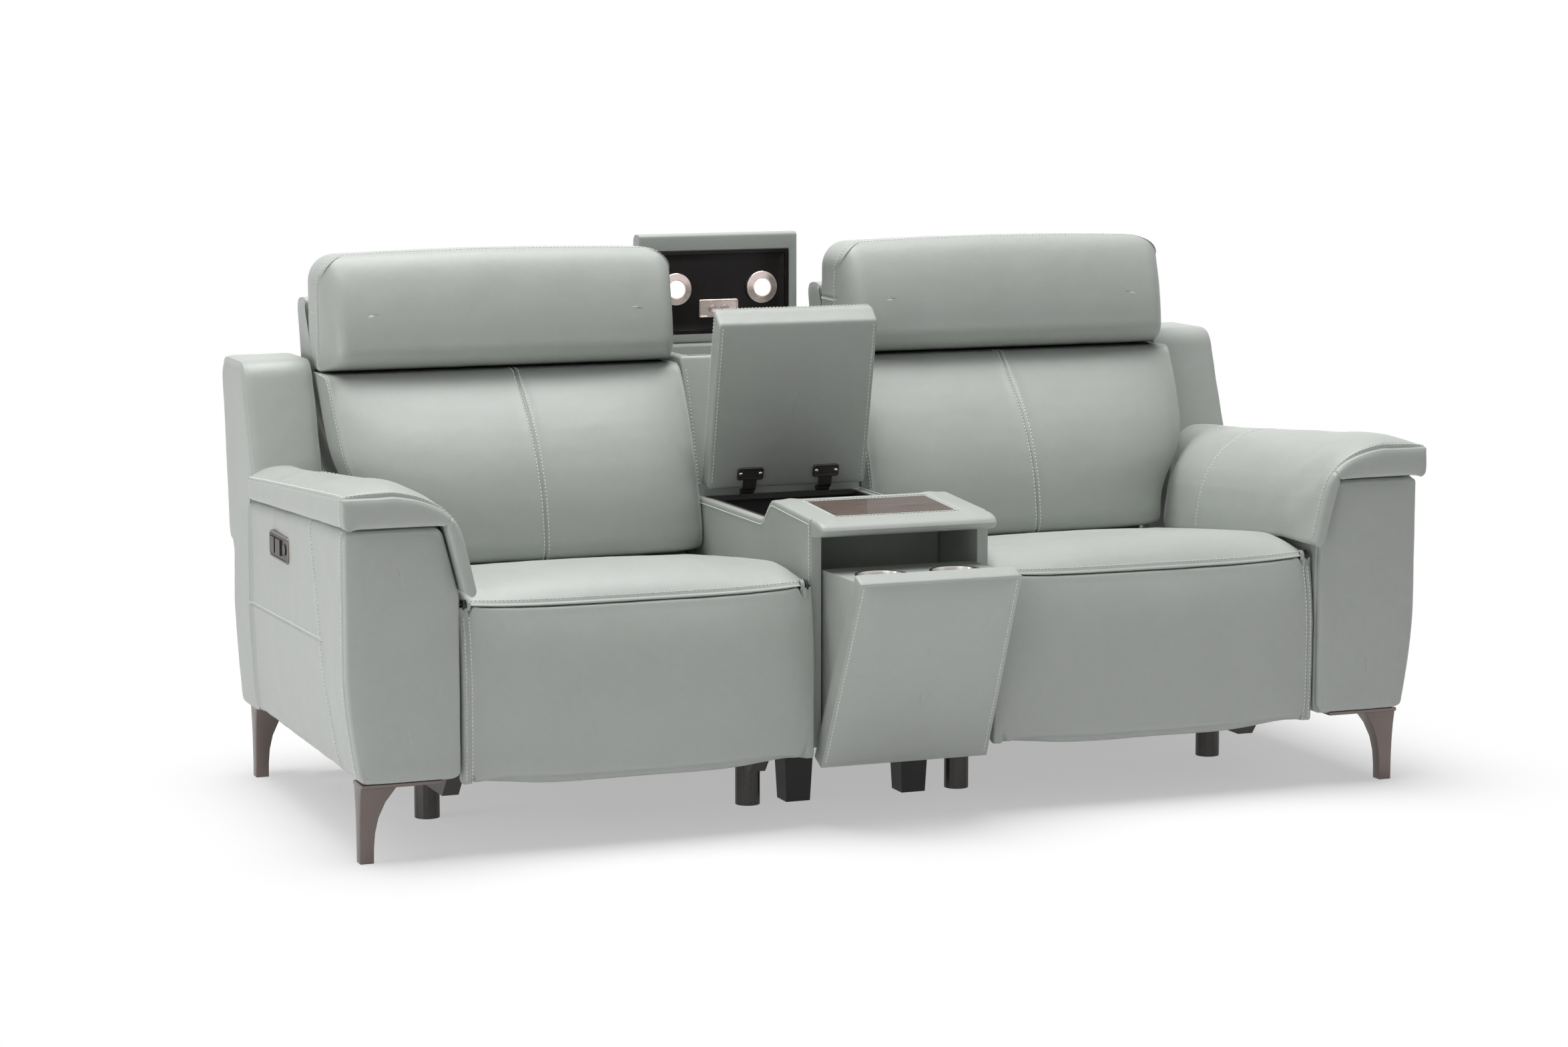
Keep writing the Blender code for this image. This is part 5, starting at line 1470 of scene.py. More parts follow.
@dataclass
class Arm(Half):
    """One arm: covered body with its front panel, padded top, wing, controls and legs."""

    inner_top: float = 0.843
    taper: float = 0.022
    fall: float = 0.043
    knee: float = 0.330
    tuck: float = 0.024
    lean_z: float = 0.450
    panel_roll: float = 0.009
    panel_half: float = 0.100
    seam_y: float = 0.205
    seam_z: float = 0.355
    seam_fall: float = 0.023
    seam_span: tuple[float, float] = (0.263, 0.627)
    pad_band: tuple[float, float] = (0.052, 0.040)
    pad_crown: float = 0.026
    pad_hem: float = 0.452
    pad_hem_slope: float = 0.102
    pad_turn: tuple[float, float] = (0.562, 0.704)
    pad_cross_y: float = 0.445
    wing_room: float = 0.008
    wing_lean: float = 0.034
    wing_ahead: float = 0.046
    wing_steps: tuple[float, float] = (0.136, 0.166)
    wing_step_z: float = 0.440
    wing_knees: tuple[float, float] = (0.532, 0.552)
    wing_middle: float = 0.80

    def __post_init__(self) -> None:
        """Reads the arm's box."""
        self.low, self.high = self.box("arm")
        self.length = self.high[1]

    def outer(self, y: float, z: Array | float = 1.0) -> Array | float:
        """Outer face at a depth and height, tucked in below the knee.

        Args:
            y: Depth.
            z: Height.

        Returns:
            The place across.
        """
        below = np.clip((self.knee - z) / (self.knee - self.low[2]), 0.0, 1.0)
        return self.high[0] - self.taper * y / self.length - self.tuck * (1.0 - 0.55 * y / self.length) * below ** 1.6

    def top(self, y: float) -> float:
        """Top of the body at a depth."""
        return self.high[2] - self.fall * y / self.length

    def inner(self, z: Array | float, y: float = 0.0) -> Array | float:
        """Inner face at a height and depth: upright, leaning out under the flap, and set back beside the back.

        Args:
            z: Height.
            y: Depth.

        Returns:
            The place across.
        """
        lean = np.clip((z - self.lean_z) / (self.high[2] - self.lean_z), 0.0, 1.0)
        room = 14 * MM * smooth((y - 0.54) / 0.06)
        return self.low[0] + 0.5 * MM + (self.inner_top - self.low[0] - 0.5 * MM) * lean + room

    def build(self) -> None:
        """Builds the whole arm."""
        self.shop.pads += [self.body(), self.panel(), self.pad(), self.wing()]
        self.controls()
        self.legs()

    def body(self) -> Pad:
        """Covered body with the sewn lines on its outer side.

        Returns:
            The pad before it is filled.
        """
        base = self.low[2]
        rows = []
        for y in np.concatenate([(0.0125, 0.016, 0.020), np.linspace(0.030, self.length - 1 * MM, 32)]):
            seam_z = self.seam_z - self.seam_fall * (y - self.seam_span[0]) / self.seam_span[1]
            top, middle = self.top(y), (self.low[0] + self.high[0]) / 2
            rise = np.linspace(base + 0.012, seam_z, 14)
            low_side = [(self.outer(y, base) - 0.010, base)] + list(zip(self.outer(y, rise), rise))
            high_side = np.array([(self.outer(y), seam_z), (self.outer(y), top - 0.010), (self.outer(y) - 0.010, top)])
            inside = np.linspace(top - 0.010, base + 0.010, 8)
            inner = [(self.inner(top, y) + 0.010, top)] + list(zip(self.inner(inside, y), inside))
            inner += [(self.inner(base, y) + 0.010, base)]
            ring = chained(
                (np.array([(middle, base), low_side[0]]), 5), (rounded(low_side, [0, 0.01] + [0] * 13), 16),
                (rounded(high_side, [0, 0.010, 0]), 14), (np.array([high_side[-1], (middle, top)]), 5),
                (np.array([(middle, top), inner[0]]), 5), (rounded(inner, [0, 0.01] + [0] * 6 + [0.01, 0]), 30),
                (np.array([inner[-1], (middle, base)]), 5),
            )
            height = (ring[:, 1] - base) / 0.42
            bend = (0.126 - self.seam_y + 0.114 * np.clip(height, 0, 1) ** 1.3)
            sway = smooth((y - 0.03) / (self.seam_y - 0.03)) * smooth((0.48 - y) / (0.48 - self.seam_y))
            rows.append(np.stack([ring[:, 0], y + bend * sway, ring[:, 1]], axis=1))
        rings = capped(np.array(rows), [(0.02, 2.5 * MM), (0.06, 3.5 * MM), (0.49, 3.5 * MM)], [(0.49, 0.5 * MM)])
        row = 6.0 + (self.seam_y - 0.030) / ((self.length - 0.031) / 31)
        seams = [
            Seam(Run.ROW, row, 6, 35, 1.6 * MM, (5 * MM, -5 * MM)),
            Seam(Run.COLUMN, 21.0, row, len(rings), 1.6 * MM, (4.5 * MM,)),
            Seam(Run.ROW, 5.5, 6, 35, 0.5 * MM, (0.0,)),
        ]
        held = np.ones(rings.shape[:2], bool)
        return Pad(self.node("arm_cover"), "frame", (self.node("arm"),), self.mirrored(rings), held, seams,
                   0.4, 0.0, crease=0.9 * MM)

    def panel(self) -> Pad:
        """Pillowed panel on the front of the arm.

        Returns:
            The pad before it is filled.
        """
        low, top = self.low[2] + 2 * MM, self.top(0.0) - 3 * MM
        wide, tall = self.panel_half, (top - low) / 2
        insets = (99.0, 88.0, 70.0, 40.0, 12.0, 3.0, 0.5, 0.0, 0.5, 1.5, 3.0, 5.5, 9.0, 14.0, 21.0, 30.0, 42.0, 56.0,
                  70.0, 82.0, 92.0, 97.0, 99.0)
        rows = []
        for row, inset in enumerate(insets):
            ring = rounded_ring((tall - inset * MM, wide - inset * MM), 0.018 + 0.25 * inset * MM, (7, 8, 46))
            z = (low + top) / 2 + ring[:, 0]
            share = (1.0 - ring[:, 1] / wide) / 2
            left, right = self.inner(z) + 1.5 * MM, self.outer(0.0, z) - 1.0 * MM
            y = np.full(len(z), (9.0, 9.0, 9.0, 9.0, 9.0, 8.5, 7.0, 4.5)[min(row, 7)] * MM)
            if row > 7:
                steps = [1.0 - (1.0 - np.clip((size - np.abs(place)) / self.panel_roll, 0.0, 1.0)) ** 2
                         for size, place in ((tall, ring[:, 0]), (wide, ring[:, 1]))]
                broad = np.sin(np.pi / 2 * np.clip((wide - np.abs(ring[:, 1])) / wide, 0.0, 1.0))
                y = y - 8.5 * MM * np.sqrt(np.minimum(*steps)) - 3.5 * MM * broad
            rows.append(np.stack([left + (right - left) * share, y, z], axis=1))
        rings = np.array(rows)
        held = np.zeros(rings.shape[:2], bool)
        held[:13] = True
        return Pad(self.node("arm_front"), "frame", (), self.mirrored(rings), held, [], 0.6, 3.0, cap=4 * MM,
                   finer=(2, 1))

    def pad(self) -> Pad:
        """Padded top with its band and the flap that hangs inside.

        Returns:
            The pad before it is filled.
        """
        low = self.box("arm_pad")[0]
        front, rear = low[1], self.length - 1 * MM
        rows = []
        inner_low, inner_top = low[0] + 1 * MM, low[0] + 18 * MM
        spots = np.concatenate([front + np.array((11.5, 17.0, 24.0, 33.0, 45.0)) * MM,
                                np.linspace(front + 0.060, 0.565, 30), np.linspace(0.577, rear - 4 * MM, 16)])
        for y in spots:
            share = (y - front) / (self.length - front)
            turn = smooth((y - self.pad_turn[0]) / (self.pad_turn[1] - self.pad_turn[0]))
            under = self.top(y) + 1 * MM
            edge = under + self.pad_band[0] + (self.pad_band[1] - self.pad_band[0]) * share
            outer = self.outer(y) + 6 * MM - 5 * MM * smooth((y - 0.705) / 0.035)
            narrow = self.inner_top + 14 * MM
            inner = inner_top + (narrow - inner_top) * turn
            flap = inner_low + (narrow - inner_low) * turn
            low_hem = min(self.pad_hem, self.pad_hem + 9 * MM - self.pad_hem_slope * (y - 0.02))
            hem = low_hem + (under - 8 * MM - low_hem) * turn
            lining = np.linspace(hem + 0.006, under + 1 * MM * turn, 10)
            heel = self.inner(lining) - 1.5 * MM
            heel = heel + (narrow + 0.024 - heel) * turn
            tip = (flap + heel[0]) / 2
            drop = min(1.0, (edge - hem) * 0.85 / 0.085)
            reach = min(drop, (outer - 0.076 - inner) / 0.120)
            crest = self.pad_crown * (1.0 - 0.2 * share) * math.sqrt(1.0 - (1.0 - min(1.0, (y - spots[0]) / 0.12)) ** 2)
            band = rounded([(outer - 15 * MM, under), (outer - 0.5 * MM, under + 3 * MM),
                            (outer + 1 * MM, (under + edge) / 2), (outer, edge)], [0, 0.018, 0.010, 0])
            marks = [(outer, edge), (outer - 0.010, edge + 0.40 * crest), (outer - 0.032, edge + 0.80 * crest),
                     (outer - 0.066, edge + crest), (inner + 0.120 * reach, edge + 0.96 * crest),
                     (inner + 0.078 * reach, edge + 0.75 * crest - 0.009 * drop),
                     (inner + 0.041 * reach, edge + 0.35 * crest - 0.026 * drop),
                     (inner + 0.016 * reach, edge + 0.05 * crest - 0.052 * drop),
                     (inner + 0.003 * reach, edge - 0.085 * drop)]
            over = spline(np.array(marks)[:, None, :], np.linspace(0.0, 8.0, 65), False)[:, 0]
            fall = rounded([over[-1], (flap, hem + 1 * MM), (tip, hem)], [0, 0.010, 0])
            leg = np.concatenate([[(tip, hem)], np.column_stack([heel, lining])])
            floor = np.array([(heel[-1], under), (outer - 0.034, under), (outer - 15 * MM, under)])
            ring = chained((band, 8), (over[:53], 34), (np.concatenate([over[52:], fall[1:]]), 22),
                           (rounded(leg, [0, 0.006] + [0] * 9), 22), (floor[:2], 34), (floor[1:], 8))
            rows.append(np.insert(ring, 1, y, axis=1))
        nose = [(0.03, 4.5 * MM), (0.08, 7.5 * MM), (0.16, 9.5 * MM), (0.30, 10.8 * MM), (0.49, 11.2 * MM)]
        rings = capped(np.array(rows), nose, [(0.04, 2 * MM), (0.49, 3 * MM)])
        held = np.zeros(rings.shape[:2], bool)
        held[:, 62:] = held[:, :12] = True
        held[:9] = held[-3:] = True
        cross = 5.0 + float(np.interp(self.pad_cross_y, spots, np.arange(len(spots))))
        seams = [
            Seam(Run.COLUMN, 8.0, 5, len(rings) - 3, 1.8 * MM, (5 * MM,)),
            Seam(Run.ROW, 5.0, 0, 61, 1.8 * MM, (5 * MM,)),
            Seam(Run.ROW, cross, 8, 62, 1.2 * MM, (-4 * MM,)),
            *(Seam(Run.COLUMN, column, 0, 4.4, 1.6 * MM, ()) for column in (42.0, 86.0)),
        ]
        return Pad(self.node("arm_top"), "frame", (self.node("arm_pad"),), self.mirrored(rings), held, seams, 0.75,
                   cap=8 * MM)

    def wing(self) -> Pad:
        """Upright wing beside the back.

        Returns:
            The pad before it is filled.
        """
        low, high = self.box("wing")
        step_z, (foot, back_low) = self.wing_step_z, (self.length + step for step in self.wing_steps)
        rows = []
        places = ((0.0, 14.0), (1.5, 8.0), (5.0, 3.0), (11.0, 0.5), (20.0, 0.0))
        inside = [(low[0] + self.wing_room + a * MM, b * MM) for a, b in places]
        outside = [(high[0] - a * MM, b * MM) for a, b in places][::-1]
        middle = [(x, 0.0) for x in np.linspace(low[0] + self.wing_room + 0.032, high[0] - 0.032, 7)]
        for x, inset in inside + middle + outside:
            front = low[1] + inset + 0.5 * MM
            top, back = high[2] - inset, high[1] - inset
            half = (front + back) / 2
            hidden = low[1] - 8 * MM
            foot_middle = (self.wing_middle, low[2])
            ahead = rounded([foot_middle, (hidden, low[2]), (hidden, self.wing_knees[0]),
                             (front - self.wing_ahead, self.wing_knees[1]), (front + self.wing_lean, top),
                             (half + 0.02, top)], [0, 0.0, 0.004, 0.008, 0.030, 0])
            behind = rounded([(half + 0.02, top), (back, top), (back_low - inset, step_z), (foot - inset, step_z),
                              (foot - inset, low[2]), foot_middle], [0, 0.030, 0.02, 0.02, 0.01, 0])
            ring = chained((ahead, 40), (behind, 40))
            tucked = (high[0] - self.outer(self.length, ring[:, 1])) * smooth((x - low[0]) / (high[0] - low[0]))
            rows.append(np.insert(ring, 0, x - tucked, axis=1))
        rings = capped(np.array(rows), [(0.15, 1 * MM), (0.35, 1.5 * MM), (0.49, 1.5 * MM)],
                       [(0.15, 0.6 * MM), (0.35, 0.8 * MM), (0.49, 0.8 * MM)])
        seams = [Seam(Run.ROW, len(rings) - 6.0, 4, 62, -1.2 * MM, ()), Seam(Run.ROW, 5.0, 12, 62, -1.2 * MM, ())]
        held = np.ones(rings.shape[:2], bool)
        return Pad(self.node("wing_cover"), "frame", (self.node("wing"),), self.mirrored(rings), held, seams,
                   0.5, 0.0, crease=1.0 * MM)

    def controls(self) -> None:
        """Control plate: a metal frame round a dark plate, under the buttons."""
        low, high = self.box("control_bezel")
        middle, half = (low + high) / 2, (high - low) / 2
        shapes = (
            ("control_frame", BRONZE, half[1:], 0.011, (self.node("control_bezel"),),
             ((16, -6), (0, -6), (0, 0), (0.8, 1.0), (3.6, 1.0), (4.4, -0.6), (7, -0.6), (16, -0.6))),
            ("control_plate", GLOSS, half[1:] - 4.6 * MM, 0.008, (),
             ((12, -2), (0, -2), (0, -0.1), (0.4, 0.2), (3, 0.2), (12, 0.2))),
        )
        for name, finish, size, radius, stands_for, steps in shapes:
            rows = []
            for inset, out in steps:
                ring = rounded_ring(size - inset * MM, max(radius - inset * MM, 1 * MM), (3, 6, 16))
                rows.append(np.insert(ring + middle[1:], 0, high[0] + out * MM, axis=1))
            self.shop.solid(self.node(name), self.mirrored(np.array(rows)), finish, "frame", stands_for)

    def legs(self) -> None:
        """Blade legs with softened edges."""
        for row in ("front", "rear"):
            name = row + "_" + self.node("leg")
            mesh = self.shop.softened(name, 1.4 * MM, 2)
            self.shop.add(row + "_" + self.node("blade"), mesh, BRONZE, "frame", (name,))


@dataclass
class Console:
    """Fixed console: sides, back box, tray with its inlay, latch and rim."""

    shop: Workshop
    tray_front_top: float = 0.541
    tray_rear_top: float = 0.553
    tray_crests: tuple[float, float] = (0.034, 0.222)
    tub_rim_y: float = 0.268
    side_face: float = 0.1692
    cheek_rows: tuple[float, float] = (0.1610, 0.1660)
    rim_depth: float = 0.083

    def build(self) -> None:
        """Builds all of the fixed console."""
        for side in Side:
            name = "console_" + side.label + "_side"
            mesh = self.shop.softened(name, 5 * MM)
            self.shop.add(name + "_cover", mesh, SAGE, "frame", (name,))
            self.cheek(side)
            self.side_stitches(side)
        self.shop.add("back_box_cover", self.shop.softened("console_back_box", 7 * MM, 4), SAGE, "frame",
                      ("console_back_box",))
        self.box_trim()
        self.tray()

    def side_top(self) -> Array:
        """Top edge of a side from the rear to the front: the tub's rim, a step up, and the tray's edge.

        Returns:
            Points as (y, z).
        """
        low, high = self.shop.layout.box("console_right_side")
        far = self.tray_crests[1]
        foot, start = high[2] + 2 * MM, low[1] + 2 * MM
        corners = [(high[1], foot), (self.tub_rim_y, foot), (far + 0.006, self.tray_height(far)),
                   (start, self.tray_height(start))]
        return rounded(corners, [0.0, 0.012, 0.012, 0.0])

    def cheek(self, side: Side) -> None:
        """Leather over a side that runs up over the end of the tray.

        Args:
            side: Which of the two sides.
        """
        low, high = self.shop.layout.box("console_right_side")
        top = self.side_top()
        base, face = low[2] + 1 * MM, top[-1][0] - 1 * MM
        half_way, foot = (face, (top[-1][1] + base) / 2), (face, base)
        ring = chained((top, 60), (np.array([top[-1], half_way]), 6), (np.array([half_way, foot]), 6),
                       (np.array([foot, (high[1], base)]), 60))
        ends = [(0.004, 1.6 * MM), (0.010, 2.6 * MM), (0.022, 3.2 * MM), (0.49, 3.2 * MM)]
        rings = capped(swept(ring, self.cheek_rows), [(0.49, 0.1 * MM)], ends)
        self.shop.solid("console_" + side.label + "_cheek", rings * np.array((side.value, 1.0, 1.0)), SAGE, "frame",
                        fill=0.4, crisp=50.0)

    def side_stitches(self, side: Side) -> None:
        """Stitch rows along the top of a side and up the front of the back box.

        Args:
            side: Which of the two sides.
        """
        high = self.shop.layout.box("console_right_side")[1]
        top = self.side_top()
        front = top[-1][0] + 4 * MM
        path = np.concatenate([top - np.array((0.0, 0.010)), [(front, 0.40), (front, 0.16)]])
        path[len(top) - 1, 0] += 4 * MM
        line = spaced(np.insert(path, 0, side.value * self.side_face, axis=1), 140)
        self.shop.sewing.row("frame", line, np.tile((side.value, 0.0, 0.0), (141, 1)))
        box_low, box_high = self.shop.layout.box("console_back_box")
        lean = np.array((0.0, -1.0, 0.32))
        x = side.value * (high[0] - 0.010)
        edge = np.array([(x, box_low[1] + 0.006, high[2] + 0.02), (x, box_low[1] + 0.0775, box_high[2] - 0.018)])
        self.shop.sewing.row("frame", spaced(edge, 50), np.tile(lean / np.linalg.norm(lean), (51, 1)))

    def box_trim(self) -> None:
        """Metal strip and latch on the rim in front of the light well."""
        low, high = self.shop.layout.box("console_back_box")
        rim, top = low[1] + self.rim_depth, high[2]
        shapes = (
            ("rim_strip", STEEL, ((4, -2), (10, -2), (10, 2), (4, 2)), 1 * MM, 24, (0.150, 0.149)),
            ("rim_latch", BLACK, ((12, -2), (26, -2), (26, 5), (12, 7)), 2 * MM, 28, (0.019, 0.018)),
        )
        for name, finish, corners, radius, count, (end, near) in shapes:
            outline = rounded([(rim + y * MM, top + z * MM) for y, z in corners], [radius] * 4, True)
            ring = chained((np.concatenate([outline, outline[:1]]), count))
            self.shop.solid(name, swept(ring, (-end, -near, near, end)), finish, "frame")

    def tray_height(self, y: Array | float) -> Array | float:
        """Top of the tray at a depth."""
        near, far = self.tray_crests
        return self.tray_front_top + (self.tray_rear_top - self.tray_front_top) * (y - near) / (far - near)

    def tray(self) -> None:
        """Padded tray with a rolled nose and a recess for the inlay."""
        low, high = self.shop.layout.box("console_tray")
        in_low, in_high = self.shop.layout.box("tray_inlay")
        near, far = self.tray_crests
        marks = (far - 0.008, in_high[1] + 1.2 * MM, in_high[1] + 0.4 * MM, in_low[1] - 0.4 * MM,
                 in_low[1] - 1.2 * MM, near)
        spots = [np.array((y, self.tray_height(y))) for y in marks]
        rear = rounded([(high[1], low[2]), (far + 1 * MM, self.tray_height(far)), spots[0]], [0, 0.010, 0])
        angle = np.linspace(math.pi / 2, -math.pi / 2, 25)
        heart, tall = (spots[5][1] + low[2]) / 2, (spots[5][1] - low[2]) / 2
        nose = np.column_stack([near - (near - low[1]) * np.cos(angle), heart + tall * np.sin(angle)])
        steps = (8, 4, 1, 18, 1, 3)
        parts = [(rear, steps[0])] + [(np.array([a, b]), n) for a, b, n in zip(spots, spots[1:], steps[1:])]
        parts += [(nose, 16), (np.array([nose[-1], (high[1], low[2])]), 51)]
        ring = chained(*parts)
        edge = in_high[0]
        half = high[0] - 5 * MM
        across = np.concatenate([np.linspace(-half, -edge - 1.2 * MM, 8), [-edge - 0.4 * MM],
                                 np.linspace(-edge, edge, 22)[1:-1], [edge + 0.4 * MM],
                                 np.linspace(edge + 1.2 * MM, half, 8)])
        rings = swept(ring, across)
        top = rings[:, :, 2] > self.tray_height(rings[:, :, 1]) - 2 * MM
        inside = (np.abs(rings[:, :, 0]) < edge + 0.8 * MM) & (rings[:, :, 1] > in_low[1] - 0.8 * MM)
        inside &= (rings[:, :, 1] < in_high[1] + 0.8 * MM) & top
        swell = 2.0 * MM * np.exp(-((np.abs(rings[:, :, 0]) - edge - 0.022) / 0.012) ** 2)
        rings[:, :, 2] += np.where(inside, -4.5 * MM, np.where(top, swell, 0.0))
        ends = [(0.03, 2.5 * MM), (0.10, 4.2 * MM), (0.22, 5 * MM), (0.49, 5 * MM)]
        self.shop.solid("tray_cover", capped(rings, ends, ends), SAGE, "frame", ("console_tray",), 0.4)
        off = 9 * MM
        corners = [(-edge - off, in_low[1] - off), (edge + off, in_low[1] - off),
                   (edge + off, in_high[1] + off), (-edge - off, in_high[1] + off)]
        line = rounded(corners, [8 * MM] * 4, True)
        line = spaced(np.concatenate([line, line[:1]]), 120)
        path = np.column_stack([line, self.tray_height(line[:, 1]) + 0.6 * MM])
        self.shop.sewing.row("frame", path, np.tile((0.0, -0.06, 1.0), (121, 1)))


@dataclass
class StorageLid:
    """Padded lid of the storage tub, drawn shut and turned open, with its hinges."""

    shop: Workshop
    body: str = "storage_lid"
    half: float = 0.158
    front: tuple[float, float] = (0.264, 0.239)
    rear: float = 0.583
    low: float = 0.5108
    hinge_x: float = 0.076
    hinge_y: float = 0.5545
    hinge_half: tuple[float, float] = (0.0260, 0.0118)
    screw_x: float = 0.0195

    def build(self) -> None:
        """Builds the lid, its hinge plates and their screws."""
        self.turn = self.shop.layout.opened("storage_lid_hinge")
        self.shop.pads.append(self.lid())
        screws, plates = Clay(), Clay()
        for x in (-self.hinge_x, self.hinge_x):
            rows = []
            for inset, out in ((11.5, 0.5), (0, 0.5), (0, -3.2), (0.5, -3.8), (1.6, -4.2), (2.6, -3.9), (6, -3.9),
                               (11.5, -3.9)):
                half = (self.hinge_half[0] - inset * MM, self.hinge_half[1] - inset * MM)
                ring = rounded_ring(half, max(4.5 - inset, 0.2) * MM, (6, 4, 10))
                rows.append(np.column_stack([x + ring[:, 0], self.hinge_y + ring[:, 1],
                                             np.full(len(ring), self.low + out * MM)]))
            plates.skin(Skin(np.array(rows)))
            for off in (-self.screw_x, self.screw_x):
                place = Matrix.Translation((x + off, self.hinge_y, self.low - 3.9 * MM))
                place = place @ Matrix.Rotation(math.pi, 4, "X")
                screws.turned([(0, -1 * MM), (3.4 * MM, -1 * MM), (3.4 * MM, 0.2 * MM), (2.4 * MM, 1.0 * MM),
                               (0.9 * MM, 1.1 * MM), (0.7 * MM, 0.5 * MM), (0, 0.5 * MM)], place, 16)
        for name, clay, finish in (("hinge_plates", plates, IRON), ("hinge_screws", screws, STEEL)):
            mesh = clay.mesh(name, 40.0)
            mesh.transform(self.turn)
            self.shop.add(name, mesh, finish, self.body)

    def lid(self) -> Pad:
        """The lid's pad.

        Returns:
            The pad before it is filled.
        """
        steps = (
            (0.157, -0.5), (0.140, -0.5), (0.120, -0.5), (0.100, -0.5), (0.080, -0.4), (0.060, -0.2), (0.046, -0.1),
            (0.034, 0.0), (0.022, 0.1), (0.010, 0.25), (3.5 * MM, 0.7), (0.8 * MM, 2.2), (0.0, 6.0), (0.0, 18.0),
            (0.0, 29.0), (1 * MM, 35.0), (4 * MM, 40.0), (10 * MM, 43.0), (0.022, 44.5), (0.040, 46.0),
            (0.060, 47.2), (0.080, 48.0), (0.100, 48.5), (0.120, 48.8), (0.140, 49.0), (0.157, 49.0),
        )
        rows = []
        for inset, z in steps:
            share = min(1.0, max(0.0, z / 44.0))
            front = self.front[0] + (self.front[1] - self.front[0]) * share
            middle, tall = (front + self.rear) / 2, (self.rear - front) / 2
            ring = rounded_ring((self.half - inset, tall - inset), 0.006 + 0.2 * inset, (22, 7, 44))
            rows.append(np.column_stack([ring[:, 0], middle + ring[:, 1], np.full(len(ring), self.low + z * MM)]))
        rings = np.array(rows)
        held = np.zeros(rings.shape[:2], bool)
        held[:17] = True
        for side in Side:
            y = np.linspace(self.front[0] + 0.006, self.rear - 0.008, 60)
            x, z = side.value * (self.half - 7.5 * MM), self.low + 0.45 * MM
            line = np.column_stack([np.full(60, x), y, np.full(60, z)])
            self.shop.sewing.row(self.body, line, np.tile((0.0, 0.0, -1.0), (60, 1)), self.turn)
        seams = [Seam(Run.ROW, 15.0, depth=1.4 * MM, threads=(5 * MM,))]
        return Pad("lid_pad", self.body, ("storage_lid",), rings, held, seams, 0.5, 3.0, cap=5 * MM, finer=(2, 1),
                   turn=self.turn)


